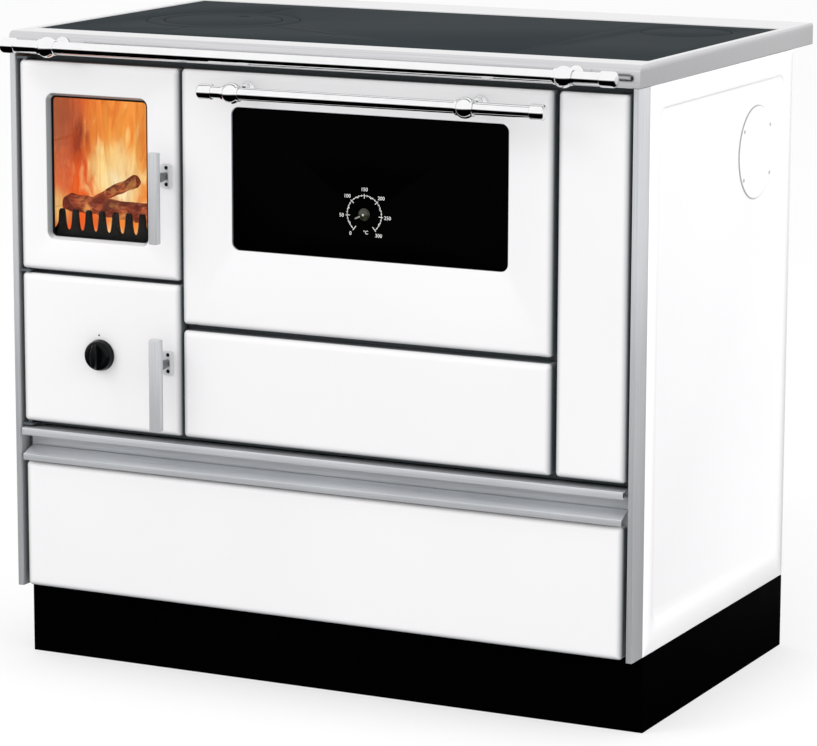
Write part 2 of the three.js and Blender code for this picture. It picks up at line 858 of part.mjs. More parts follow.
// ---- ash door with the air control ----
put(
  ashDoor,
  "ash_door_panel",
  enamel,
  cut(
    pan(ASH_DOOR, 3),
    sidePinBore(300, 560),
    boreY(LEVER_X, ASH_LEVER.z, 5.6),
    boreY(KNOB.x, KNOB.z, 4.2),
    box(-370, -262, 6, 14, 320, 332),
  ),
);
{
  // sector openings that the shutter covers when the air is shut
  const sector = (a0, r0, r1) => {
    const s = new THREE.Shape();
    const n = 6;
    const sweep = (70 * Math.PI) / 180;
    const p = (r, a) => [KNOB.x + r * Math.cos(a), KNOB.z + r * Math.sin(a)];
    const pts = [];
    for (let i = 0; i <= n; i++) pts.push(p(r1, a0 - sweep / 2 + (sweep * i) / n));
    for (let i = n; i >= 0; i--) pts.push(p(r0, a0 - sweep / 2 + (sweep * i) / n));
    pts.forEach(([a, b], i) => (i ? s.lineTo(a, b) : s.moveTo(a, b)));
    return s;
  };
  put(
    ashDoor,
    "ash_door_liner",
    sheetDark,
    cut(
      plate([-424, -204, 338, 519], 13.6, 17.6),
      boreY(LEVER_X, ASH_LEVER.z, 5.6),
      boreY(KNOB.x, KNOB.z, 4.2),
      prism("y", sector(Math.PI / 2, 16, 42), 10, 20, 2),
      prism("y", sector(-Math.PI / 2, 16, 42), 10, 20, 2),
    ),
  );
  const vane = (a0) => {
    const s = new THREE.Shape();
    const n = 7;
    const sweep = (84 * Math.PI) / 180;
    const pts = [[KNOB.x, KNOB.z]];
    for (let i = 0; i <= n; i++) {
      const a = a0 - sweep / 2 + (sweep * i) / n;
      pts.push([KNOB.x + 45 * Math.cos(a), KNOB.z + 45 * Math.sin(a)]);
    }
    pts.forEach(([a, b], i) => (i ? s.lineTo(a, b) : s.moveTo(a, b)));
    return prism("y", s, 18.2, 20.2, 2);
  };
  put(
    airControl,
    "air_shutter",
    steelSheet,
    cut(
      union(rod("y", KNOB.x, KNOB.z, 13, 18.2, 20.2, 20), vane(Math.PI / 2), vane(-Math.PI / 2)),
      boreY(KNOB.x, KNOB.z, 3.6, 17, 22),
    ),
  );
}
{
  const r = KNOB.r;
  const base = turned(
    "y",
    KNOB.x,
    KNOB.z,
    [
      [0, -13],
      [r - 5, -13],
      [r - 2.2, -11.8],
      [r - 1, -9.5],
      [r, -2],
      [r - 0.6, -0.6],
      [3.3, -0.6],
      [3.3, 21.4],
      [0, 21.4],
    ],
    24,
  );
  // raised grip, lens-shaped, standing upright at rest
  const grip = new THREE.Shape();
  grip.moveTo(KNOB.x, KNOB.z - 16.5);
  grip.quadraticCurveTo(KNOB.x + 9.5, KNOB.z, KNOB.x, KNOB.z + 16.5);
  grip.quadraticCurveTo(KNOB.x - 9.5, KNOB.z, KNOB.x, KNOB.z - 16.5);
  put(airControl, "air_knob", blackPlastic, union(base, prism("y", grip, -23, -12, 6)));
}
put(ashDoor, "ash_latch_plate", steelSheet, latchPlate(ASH_LEVER.z));
put(ashLever, "ash_door_lever", aluminium, lever(ASH_LEVER, flatSection(17, 12, 2.5), 9));

// ---- oven door ----
{
  const lug = (x) =>
    box(x - 1.5, x + 6.5, 3, PANEL_DEPTH + 1, OVEN_DOOR[2] - 1, OVEN_DOOR[2] + 3);
  put(
    ovenDoor,
    "oven_door_panel",
    enamel,
    cut(
      pan(OVEN_DOOR, 3),
      prism("y", roundedRect(OVEN_WINDOW, 10), -1, 5),
      rod("x", OVEN_HINGE_Y, OVEN_HINGE_Z, PIN_R + 0.4, -200, 340, 12),
      lug(-176),
      lug(314),
    ),
  );
}
put(
  ovenDoor,
  "oven_door_glass",
  blackGlass,
  prism("y", roundedRect(grow(OVEN_WINDOW, 8), 6), 3.3, 7.3, 3).subtract(
    boreY(DIAL.x, DIAL.z, 6.2),
  ),
);
put(
  ovenDoor,
  "oven_door_liner",
  sheetDark,
  cut(
    plate([-185, 328, 496, 806], 13.6, 17.6),
    prism("y", roundedRect([OVEN_CX - 170, OVEN_CX + 170, 600, 752], 8), 10, 20, 2),
  ),
);
put(ovenDoor, "oven_door_handle", chrome, handleBar(HANDLE_X[0], HANDLE_X[1], BAR_Y, HANDLE_Z, 21, 19));
put(ovenDoor, "handle_bracket_left", chrome, ballBracket(HANDLE_BALL_X[0], BAR_Y, HANDLE_Z));
put(ovenDoor, "handle_bracket_right", chrome, ballBracket(HANDLE_BALL_X[1], BAR_Y, HANDLE_Z));
put(
  ovenDoor,
  "thermometer_body",
  steelSheet,
  turned(
    "y",
    DIAL.x,
    DIAL.z,
    [
      [1.7, 2.2],
      [8, 2.2],
      [8, 3.0],
      [5.6, 3.0],
      [5.6, 7.6],
      [19, 7.6],
      [19, 12.6],
      [4, 12.6],
      [4, 30],
      [0, 30],
      [0, 9],
      [1.7, 9],
      [1.7, 2.2],
    ],
    16,
  ),
);
{
  // needle on its own spindle; at rest it points down to the left, near the low end of the scale
  const a = (205 * Math.PI) / 180;
  const c = Math.cos(a);
  const s = Math.sin(a);
  const p = (u, v) => [DIAL.x + u * c - v * s, DIAL.z + u * s + v * c];
  const blade = prism(
    "y",
    [p(-4, -1), p(13, -0.8), p(16, 0), p(13, 0.8), p(-4, 1)],
    0.6,
    1.5,
    2,
  );
  put(
    thermometer,
    "thermometer_needle",
    needleWhite,
    union(
      blade,
      turned("y", DIAL.x, DIAL.z, [
        [0, -1],
        [2.4, -0.6],
        [3.4, 0.3],
        [3.4, 1.8],
        [1.3, 1.8],
        [1.3, 8.5],
        [0, 8.5],
      ], 16),
    ),
  );
}

// ---- wood drawer ----
put(drawer, "drawer_front", enamel, pan(DRAWER, 3, 16.7));
put(
  drawer,
  "drawer_grip",
  aluminium,
  prism(
    "x",
    [
      [-5.5, 275.5],
      [-5.5, 283.2],
      [-5, 283.8],
      [17, 292],
      [19, 292],
      [19, 258],
      [17, 258],
      [17, 289.6],
      [-3.5, 282],
      [-3.5, 275.5],
    ],
    -435,
    435,
  ),
);
put(
  drawer,
  "drawer_box",
  steelSheet,
  cut(
    box(-418, 418, 19.4, 500, 108, 250),
    box(-416, 416, 21.4, 498, 110, 251),
  ),
);
for (const [name, x] of [
  ["left_drawer_rail", -410],
  ["right_drawer_rail", 385],
])
  put(
    body,
    name,
    steelSheet,
    cut(
      box(x, x + 25, 42, 512, PLINTH_HEIGHT + GAP, 107.7),
      box(x + 2, x + 23, 40, 514, PLINTH_HEIGHT - 1, 105.7),
    ),
  );

export default stove;
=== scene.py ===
import json
import math

import bmesh
import bpy
from mathutils import Matrix, Vector, noise


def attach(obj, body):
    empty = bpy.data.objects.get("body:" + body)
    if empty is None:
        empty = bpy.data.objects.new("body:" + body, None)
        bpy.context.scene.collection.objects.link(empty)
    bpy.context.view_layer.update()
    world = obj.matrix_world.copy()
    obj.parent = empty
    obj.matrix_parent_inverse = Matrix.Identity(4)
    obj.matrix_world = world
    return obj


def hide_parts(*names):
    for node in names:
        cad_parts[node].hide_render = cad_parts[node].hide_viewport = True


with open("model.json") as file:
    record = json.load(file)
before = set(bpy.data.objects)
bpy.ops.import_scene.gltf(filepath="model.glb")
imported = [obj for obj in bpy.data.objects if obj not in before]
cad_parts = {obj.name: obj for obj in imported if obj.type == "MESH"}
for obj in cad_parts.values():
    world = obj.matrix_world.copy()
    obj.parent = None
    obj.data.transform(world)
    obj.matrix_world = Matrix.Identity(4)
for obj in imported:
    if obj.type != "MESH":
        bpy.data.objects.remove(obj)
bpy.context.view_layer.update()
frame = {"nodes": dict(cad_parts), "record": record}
NODES = frame["nodes"]

# The part is drawn in millimetres with Y = 0 at the front plane of the panels.
Y_MID = 270.25


def P(x, y, z):
    return Vector((x / 1000.0, (y - Y_MID) / 1000.0, z / 1000.0))


# ------------------------------------------------------------------ camera
# Fitted to the corners of the object in the photograph.
F_PX, YAW, PITCH, ROLL = 3791.0, -0.4586, -0.1901, 0.0030
cam_data = bpy.data.cameras.new("camera")
cam = bpy.data.objects.new("camera", cam_data)
bpy.context.scene.collection.objects.link(cam)
cam_data.sensor_width = 36.0
cam_data.lens = F_PX / 817.0 * 36.0
cam_data.clip_end = 100.0
fwd = Vector(
    (
        math.sin(YAW) * math.cos(PITCH),
        math.cos(YAW) * math.cos(PITCH),
        math.sin(PITCH),
    )
)
right = Vector((math.cos(YAW), -math.sin(YAW), 0.0))
up = right.cross(fwd)
r2 = math.cos(ROLL) * right + math.sin(ROLL) * up
u2 = -math.sin(ROLL) * right + math.cos(ROLL) * up
m = Matrix((r2, u2, -fwd)).transposed().to_4x4()
m.translation = P(2227.7, -4233.3, 1351.5)
cam.matrix_world = m
bpy.context.scene.camera = cam
bpy.context.scene.view_settings.view_transform = "Standard"


# ------------------------------------------------------------------ node helpers
class Tree:
    """Builds a node material with few words."""

    def __init__(self, name):
        self.mat = bpy.data.materials.new(name)
        self.mat.use_nodes = True
        self.nt = self.mat.node_tree
        self.nt.nodes.clear()
        self.out = self.nt.nodes.new("ShaderNodeOutputMaterial")
        self.coord = None

    def node(self, kind, **kw):
        n = self.nt.nodes.new(kind)
        for k, v in kw.items():
            setattr(n, k, v)
        return n

    def link(self, a, b):
        self.nt.links.new(a, b)

    def obj(self, scale=(1, 1, 1), rot=(0, 0, 0)):
        if self.coord is None:
            self.coord = self.node("ShaderNodeTexCoord")
        mp = self.node("ShaderNodeMapping")
        mp.inputs["Scale"].default_value = scale
        mp.inputs["Rotation"].default_value = rot
        self.link(self.coord.outputs["Object"], mp.inputs["Vector"])
        return mp.outputs["Vector"]

    def noise(self, scale, detail=3.0, rough=0.5, vec=None, distortion=0.0):
        n = self.node("ShaderNodeTexNoise")
        n.inputs["Scale"].default_value = scale
        n.inputs["Detail"].default_value = detail
        n.inputs["Roughness"].default_value = rough
        n.inputs["Distortion"].default_value = distortion
        self.link(vec if vec is not None else self.obj(), n.inputs["Vector"])
        return n.outputs["Fac"]

    def ramp(self, fac, stops, interp="LINEAR"):
        n = self.node("ShaderNodeValToRGB")
        n.color_ramp.interpolation = interp
        els = n.color_ramp.elements
        while len(els) < len(stops):
            els.new(0.5)
        for e, (p, c) in zip(els, stops):
            e.position = p
            e.color = (*c, 1) if len(c) == 3 else c
        self.link(fac, n.inputs["Fac"])
        return n.outputs["Color"]

    def span(self, fac, lo, hi, a=0.0, b=1.0):
        n = self.node("ShaderNodeMapRange")
        n.inputs["From Min"].default_value = a
        n.inputs["From Max"].default_value = b
        n.inputs["To Min"].default_value = lo
        n.inputs["To Max"].default_value = hi
        self.link(fac, n.inputs["Value"])
        return n.outputs["Result"]

    def math(self, op, a, b=None, clamp=False):
        n = self.node("ShaderNodeMath", operation=op, use_clamp=clamp)
        for i, v in enumerate((a, b)):
            if v is None:
                continue
            if isinstance(v, (int, float)):
                n.inputs[i].default_value = v
            else:
                self.link(v, n.inputs[i])
        return n.outputs[0]

    def mix(self, fac, a, b, blend="MIX"):
        n = self.node("ShaderNodeMix", data_type="RGBA", blend_type=blend)
        if isinstance(fac, (int, float)):
            n.inputs[0].default_value = fac
        else:
            self.link(fac, n.inputs[0])
        for i, v in ((6, a), (7, b)):
            if isinstance(v, (tuple, list)):
                n.inputs[i].default_value = (*v, 1) if len(v) == 3 else v
            else:
                self.link(v, n.inputs[i])
        return n.outputs[2]

    def bump(self, height, strength, distance, normal=None):
        n = self.node("ShaderNodeBump")
        n.inputs["Strength"].default_value = strength
        n.inputs["Distance"].default_value = distance
        self.link(height, n.inputs["Height"])
        if normal is not None:
            self.link(normal, n.inputs["Normal"])
        return n.outputs["Normal"]

    def bsdf(self, color=None, rough=None, normal=None, **sockets):
        n = self.node("ShaderNodeBsdfPrincipled")
        for key, v in (("Base Color", color), ("Roughness", rough), ("Normal", normal)):
            if v is None:
                continue
            if isinstance(v, (int, float)):
                n.inputs[key].default_value = v
            elif isinstance(v, (tuple, list)):
                n.inputs[key].default_value = (*v, 1)
            else:
                self.link(v, n.inputs[key])
        for key, v in sockets.items():
            n.inputs[key.replace("_", " ")].default_value = v
        self.link(n.outputs[0], self.out.inputs["Surface"])
        return n

    def xyz(self, vec=None):
        n = self.node("ShaderNodeSeparateXYZ")
        self.link(vec if vec is not None else self.obj(), n.inputs[0])
        return n.outputs

    def facing(self):
        """Separate the surface normal in the object's own axes."""
        if self.coord is None:
            self.coord = self.node("ShaderNodeTexCoord")
        n = self.node("ShaderNodeSeparateXYZ")
        self.link(self.coord.outputs["Normal"], n.inputs[0])
        return n.outputs

    def curve(self, fac, stops):
        """A ramp read as one number."""
        return self.ramp(fac, [(a, (v, v, v)) for a, v in stops])


# ------------------------------------------------------------------ materials
def enamel_body(t, col):
    rough = t.span(t.noise(24.0, 4.0), 0.13, 0.24)
    peel = t.noise(420.0, 2.0, 0.4)
    wave = t.noise(60.0, 1.0)
    h = t.math("ADD", t.math("MULTIPLY", peel, 0.35), wave)
    t.bsdf(col, rough, t.bump(h, 0.05, 0.0006), Specular_IOR_Level=0.5, Coat_Weight=0.3, Coat_Roughness=0.04)
    return t.mat


def m_enamel():
    """White vitreous enamel: glossy, with a faint orange peel and slow tone changes."""
    t = Tree("white_enamel")
    slow = t.noise(2.2, 2.0)
    col = t.ramp(slow, [(0.3, (0.80, 0.79, 0.80)), (0.7, (0.83, 0.822, 0.832))])
    return enamel_body(t, col)


def m_front_enamel():
    """The same enamel on the pressed front panels, with painted shade on the rolled edges: a slate tone where the
    surface turns sideways or down, and on flat tops.
    """
    t = Tree("front_enamel")
    slow = t.noise(2.2, 2.0)
    col = t.ramp(slow, [(0.3, (0.80, 0.79, 0.80)), (0.7, (0.83, 0.822, 0.832))])
    nx, ny, nz = t.facing()[0:3]
    # painted shade: the edges darken as they turn sideways, more on faces turned down, and flat upward tops darken too
    sideways_shade = t.curve(t.math("ABSOLUTE", nx), [(0.0, 0.0), (0.12, 0.03), (0.4, 0.28), (0.7, 0.58), (0.9, 0.88), (1.0, 1.0)])
    downward_shade = t.curve(t.math("MULTIPLY", nz, -1.0, True), [(0.0, 0.0), (0.2, 0.05), (0.55, 0.45), (0.8, 0.86), (1.0, 1.0)])
    above = t.curve(t.math("MULTIPLY", nz, 1.0, True), [(0.0, 0.0), (0.86, 0.0), (0.97, 0.75), (1.0, 0.9)])
    dark = t.math("MAXIMUM", sideways_shade, t.math("MAXIMUM", downward_shade, above))
    # the painted shade is mixed in as slate grey
    return enamel_body(t, t.mix(dark, col, (0.15, 0.17, 0.18)))


def m_side_enamel():
    """Enamel of the side panels, its pressed field painted a shade lighter than the rim as painted light, with a grey
    joint round the blank cover.
    """
    t = Tree("side_enamel")
    slow = t.noise(2.2, 2.0)
    # painted light: the pressed field gets a lighter tone than the rim round it, though both are one enamel
    rim = t.ramp(slow, [(0.3, (0.82, 0.812, 0.822)), (0.7, (0.85, 0.842, 0.852))])
    field = t.ramp(slow, [(0.3, (0.83, 0.82, 0.832)), (0.7, (0.86, 0.85, 0.862))])
    deep = t.span(t.math("ABSOLUTE", t.xyz()[0]), 1.0, 0.0, 0.4474, 0.4482)
    # the joint round the blank cover
    p = t.xyz()
    dy, dz = t.math("ADD", p[1], -0.13075), t.math("ADD", p[2], -0.697)
    d = t.math("SQRT", t.math("ADD", t.math("MULTIPLY", dy, dy), t.math("MULTIPLY", dz, dz)))
    joint = t.math("MULTIPLY", t.span(t.math("ABSOLUTE", t.math("ADD", d, -0.0614)), 0.5, 0.0, 0.0006, 0.0012), t.span(p[0], 0.0, 1.0, 0.3, 0.4))
    return enamel_body(t, t.mix(joint, t.mix(deep, rim, field), (0.16, 0.165, 0.18)))


def m_black_enamel():
    """Black plinth enamel: near black, satin, with a fine grain."""
    t = Tree("black_enamel")
    n = t.noise(700.0, 3.0)
    col = t.ramp(n, [(0.3, (0.0002, 0.0002, 0.0003)), (0.7, (0.0006, 0.0006, 0.0007))])
    rough = t.span(t.noise(30.0, 4.0), 0.5, 0.65)
    t.bsdf(col, rough, t.bump(n, 0.12, 0.0003), Specular_IOR_Level=0.004)
    return t.mat


def m_brushed(name, dark, light, along, rough=(0.24, 0.4), metallic=1.0, streak=900.0, bump=0.08):
    """Metal brushed along one axis: streaks stretched along it, and slow tone changes."""
    t = Tree(name)
    scale = [streak] * 3
    scale[along] = 6.0
    lines = t.noise(1.0, 5.0, 0.7, t.obj(tuple(scale)))
    slow = t.noise(5.0, 2.0)
    both = t.math("ADD", t.math("MULTIPLY", lines, 0.7), t.math("MULTIPLY", slow, 0.3))
    col = t.ramp(both, [(0.34, dark), (0.66, light)])
    t.bsdf(col, t.span(lines, rough[0], rough[1]), t.bump(lines, bump, 0.0002), Metallic=metallic)
    return t.mat


def m_post():
    """Brushed aluminium of the corner posts: streaks up and down."""
    return m_brushed("aluminium", (0.48, 0.49, 0.51), (0.66, 0.67, 0.69), 2, (0.3, 0.45), metallic=0.5)


def m_trim():
    """Brushed aluminium of the profiles over the drawer: streaks along them."""
    return m_brushed("trim_aluminium", (0.56, 0.575, 0.60), (0.74, 0.755, 0.78), 0, (0.28, 0.42), metallic=0.5)


def m_lever():
    """Lever section: finely brushed up and down."""
    return m_brushed("lever_aluminium", (0.54, 0.55, 0.57), (0.68, 0.69, 0.71), 2, (0.3, 0.42), metallic=0.45)


def m_latch():
    """Bright latch plates."""
    return m_brushed("latch_steel", (0.62, 0.63, 0.64), (0.76, 0.77, 0.78), 2, (0.3, 0.42), metallic=0.3, streak=500.0)


def m_gasket():
    """Black heat-proof gasket round the fire glass."""
    t = Tree("glass_gasket")
    n = t.noise(400.0, 4.0)
    col = t.ramp(n, [(0.3, (0.0015, 0.0015, 0.0015)), (0.7, (0.005, 0.005, 0.005))])
    t.bsdf(col, t.span(n, 0.6, 0.85), t.bump(n, 0.2, 0.0002), Specular_IOR_Level=0.1)
    return t.mat


# ---- fire. The colours are a field in the object's own space: u runs left to right and v top to bottom
# of the window, both sheared a little with depth.
def fire_field(t):
    p = t.xyz()
    lean = t.math("ADD", p[1], (Y_MID - 10.0) / 1000.0)
    warp1 = t.math("ADD", t.noise(14.0, 4.0, 0.6, t.obj((1.0, 1.0, 0.45))), -0.5)
    warp2 = t.math("ADD", t.noise(12.0, 4.0, 0.6, t.obj((1.3, 1.0, 0.5), (0.4, 0.2, 1.1))), -0.5)
    u = t.math("MULTIPLY", t.math("ADD", t.math("ADD", p[0], t.math("MULTIPLY", lean, 0.494)), 0.3895), 1.0 / 0.1425)
    v = t.math("MULTIPLY", t.math("SUBTRACT", 0.7655, t.math("ADD", p[2], t.math("MULTIPLY", lean, 0.215))), 1.0 / 0.183)
    u = t.math("ADD", u, t.math("MULTIPLY", warp1, 0.42))
    v = t.math("ADD", v, t.math("MULTIPLY", warp2, 0.34))
    cb = t.node("ShaderNodeCombineXYZ")
    t.link(u, cb.inputs[0])
    t.link(v, cb.inputs[1])

    def blob(cu, cv, ru, rv, rot=0.0, lo=0.0, hi=0.9):
        mp = t.node("ShaderNodeMapping", vector_type="TEXTURE")
        mp.inputs["Location"].default_value = (cu, cv, 0)
        mp.inputs["Rotation"].default_value = (0, 0, rot)
        mp.inputs["Scale"].default_value = (ru, rv, 1)
        t.link(cb.outputs[0], mp.inputs["Vector"])
        g = t.node("ShaderNodeTexGradient", gradient_type="SPHERICAL")
        t.link(mp.outputs["Vector"], g.inputs["Vector"])
        return t.ramp(g.outputs["Fac"], [(0.0, (0, 0, 0)), (0.75, (hi, hi, hi))], "EASE")

    col = t.ramp(u, [(0.0, (0.80, 0.14, 0.025)), (0.28, (0.80, 0.12, 0.022)), (0.5, (0.85, 0.24, 0.04)), (0.8, (0.88, 0.30, 0.055)), (1.0, (0.85, 0.24, 0.05))])
    for cu, cv, ru, rv, rot, hi, c in (
        (0.72, 0.12, 0.55, 0.30, 0.0, 0.75, (0.90, 0.33, 0.06)),  # orange haze over the flames
        (0.05, 0.12, 0.42, 0.50, 0.0, 0.85, (0.40, 0.10, 0.045)),  # dark red brown, upper left
        (0.24, 0.27, 0.14, 0.24, 0.15, 0.85, (0.21, 0.035, 0.02)),  # darker streak in it
        (0.30, 0.50, 0.10, 0.30, 0.0, 0.5, (0.62, 0.055, 0.012)),
        (0.97, 0.40, 0.30, 0.40, 0.3, 0.5, (0.86, 0.25, 0.05)),
        (0.60, 0.42, 0.36, 0.34, -0.2, 0.85, (0.95, 0.50, 0.11)),  # yellow body of the flames
        (0.43, 0.50, 0.15, 0.30, 0.15, 0.9, (0.96, 0.66, 0.27)),
        (0.66, 0.47, 0.20, 0.32, -0.25, 0.95, (0.97, 0.70, 0.33)),
        (0.58, 0.56, 0.22, 0.16, 0.0, 0.95, (0.99, 0.83, 0.50)),  # palest core over the logs
        (0.86, 0.73, 0.30, 0.08, 0.1, 0.8, (0.93, 0.55, 0.24)),  # between the logs
        (0.14, 0.40, 0.13, 0.42, 0.05, 0.55, (0.58, 0.07, 0.016)),
        (0.04, 0.80, 0.14, 0.20, 0.0, 0.9, (0.97, 0.60, 0.20)),
        (0.48, 0.93, 0.20, 0.10, 0.0, 0.8, (0.97, 0.68, 0.34)),
        (0.75, 0.95, 0.16, 0.08, 0.0, 0.7, (0.90, 0.45, 0.20)),
    ):
        col = t.mix(blob(cu, cv, ru, rv, rot, 0.0, hi), col, c)
    # wisps: curling streaks, bright in the body of the fire and red to its left
    wisp = t.noise(1.0, 3.0, 0.55, t.obj((58.0, 20.0, 15.0), (0.0, 0.22, 0.0)), 1.6)
    body = blob(0.62, 0.42, 0.62, 0.62, 0.0, 0.0, 1.0)
    hot = t.math("MULTIPLY", t.span(wisp, 0.0, 1.0, 0.52, 0.68), t.xyz(body)[0])
    col = t.mix(t.math("MULTIPLY", hot, 0.85), col, (1.0, 0.72, 0.30))
    col = t.mix(t.math("MULTIPLY", t.span(wisp, 1.0, 0.0, 0.30, 0.46), 0.55), col, (0.72, 0.13, 0.02))
    streak = t.noise(1.0, 3.0, 0.55, t.obj((85.0, 85.0, 14.0)), 0.8)
    return t.mix(0.34, col, t.ramp(streak, [(0.34, (0.46, 0.34, 0.26)), (0.62, (1.0, 1.0, 1.0))]), "MULTIPLY")


def m_flame():
    """Flames: glowing only, with no surface of their own to catch light."""
    t = Tree("flame")
    n = t.node("ShaderNodeBsdfPrincipled")
    n.inputs["Base Color"].default_value = (0.0, 0.0, 0.0, 1)
    n.inputs["Roughness"].default_value = 1.0
    n.inputs["Specular IOR Level"].default_value = 0.0
    t.link(fire_field(t), n.inputs["Emission Color"])
    n.inputs["Emission Strength"].default_value = 1.1
    t.link(n.outputs[0], t.out.inputs["Surface"])
    return t.mat


def m_log():
    """Charred log: red-brown bark with ash and glowing cracks."""
    t = Tree("burning_log")
    bark = t.noise(1.0, 6.0, 0.7, t.obj((110.0, 260.0, 260.0)), 0.6)
    ash = t.noise(55.0, 4.0)
    col = t.ramp(bark, [(0.3, (0.03, 0.012, 0.008)), (0.6, (0.10, 0.045, 0.03)), (0.8, (0.30, 0.22, 0.18))])
    n = t.bsdf(col, t.span(bark, 0.8, 1.0), t.bump(bark, 0.8, 0.002), Specular_IOR_Level=0.05)
    heat = t.math("ADD", t.math("MULTIPLY", bark, 0.5), t.math("MULTIPLY", ash, 0.5))
    glow = t.ramp(heat, [(0.36, (0.10, 0.012, 0.008)), (0.5, (0.24, 0.04, 0.02)), (0.60, (0.50, 0.12, 0.04)), (0.70, (0.88, 0.40, 0.14))])
    char = t.noise(26.0, 3.0, 0.6, None, 1.0)
    glow = t.mix(t.span(char, 0.0, 0.85, 0.46, 0.56), glow, (0.085, 0.014, 0.010))
    # the flames lick round the logs
    veil = t.noise(1.0, 2.0, 0.5, t.obj((30.0, 30.0, 17.0)), 1.2)
    glow = t.mix(t.span(veil, 0.0, 0.85, 0.54, 0.70), glow, (0.92, 0.42, 0.12))
    t.link(glow, n.inputs["Emission Color"])
    n.inputs["Emission Strength"].default_value = 0.9
    return t.mat


def m_ember():
    """Bed of embers, pale yellow in the gaps and orange on the lumps."""
    t = Tree("embers")
    v = t.node("ShaderNodeTexVoronoi")
    v.inputs["Scale"].default_value = 90.0
    t.link(t.obj(), v.inputs["Vector"])
    ash = t.noise(40.0, 5.0)
    heat = t.math("ADD", t.math("MULTIPLY", v.outputs["Distance"], 1.0), t.math("MULTIPLY", ash, 0.5))
    glow = t.ramp(heat, [(0.35, (0.95, 0.50, 0.20)), (0.6, (0.85, 0.28, 0.07)), (0.85, (0.35, 0.06, 0.02))])
    n = t.bsdf((0.05, 0.04, 0.035), t.span(ash, 0.8, 1.0), t.bump(ash, 0.5, 0.002), Specular_IOR_Level=0.05)
    t.link(glow, n.inputs["Emission Color"])
    n.inputs["Emission Strength"].default_value = 1.0
    return t.mat


def m_brick():
    """Fireclay: buff, speckled, with soot that thickens upwards."""
    t = Tree("firebrick")
    n = t.noise(90.0, 6.0, 0.7)
    v = t.node("ShaderNodeTexVoronoi")
    v.inputs["Scale"].default_value = 160.0
    t.link(t.obj(), v.inputs["Vector"])
    col = t.ramp(n, [(0.25, (0.28, 0.19, 0.12)), (0.5, (0.46, 0.33, 0.22)), (0.75, (0.58, 0.44, 0.31))])
    soot = t.span(t.math("ADD", t.xyz()[2], t.math("MULTIPLY", t.noise(14.0, 4.0), 0.12)), 0.15, 0.85, 0.60, 0.80)
    col = t.mix(soot, col, (0.05, 0.04, 0.035))
    br = t.node("ShaderNodeTexBrick")
    br.inputs["Scale"].default_value = 1.0
    br.inputs["Brick Width"].default_value = 0.22
    br.inputs["Row Height"].default_value = 0.088
    br.inputs["Mortar Size"].default_value = 0.0016
    cb = t.node("ShaderNodeCombineXYZ")
    s = t.xyz()
    t.link(t.math("ADD", s[0], s[1]), cb.inputs[0])
    t.link(s[2], cb.inputs[1])
    t.link(cb.outputs[0], br.inputs["Vector"])
    col = t.mix(br.outputs["Fac"], col, (0.1, 0.075, 0.055))
    h = t.math("SUBTRACT", t.math("MULTIPLY", n, 0.4), br.outputs["Fac"])
    b = t.bsdf(col, t.span(v.outputs["Distance"], 0.8, 0.98), t.bump(h, 0.6, 0.0015), Specular_IOR_Level=0.2)
    # painted firelight: the brick glows with the fire's colours, standing in for light from the fire in front of it
    t.link(fire_field(t), b.inputs["Emission Color"])
    b.inputs["Emission Strength"].default_value = 0.85
    return t.mat


def m_top_frame():
    """Polished steel of the top frame: fine brushing along the front, coarser on the ends."""
    t = Tree("polished_steel")
    lines = t.noise(1.0, 5.0, 0.7, t.obj((5.0, 900.0, 900.0)))
    ends = t.curve(t.math("ABSOLUTE", t.facing()[0]), [(0.0, 0.0), (0.6, 0.0), (0.8, 1.0), (1.0, 1.0)])
    col = t.ramp(lines, [(0.3, (0.60, 0.60, 0.615)), (0.7, (0.74, 0.735, 0.75))])
    t.bsdf(col, t.math("ADD", t.span(lines, 0.08, 0.14), t.math("MULTIPLY", ends, 0.2)), t.bump(lines, 0.03, 0.0002), Metallic=1.0)
    return t.mat


def m_chrome():
    """Bright chrome plate with the faintest haze and polishing marks."""
    t = Tree("chrome")
    haze = t.noise(35.0, 5.0, 0.6)
    marks = t.noise(1.0, 4.0, 0.6, t.obj((60.0, 900.0, 900.0)))
    col = t.ramp(haze, [(0.3, (0.90, 0.90, 0.91)), (0.7, (0.95, 0.95, 0.955))])
    t.bsdf(col, t.span(haze, 0.02, 0.07), t.bump(marks, 0.015, 0.0001), Metallic=1.0)
    return t.mat


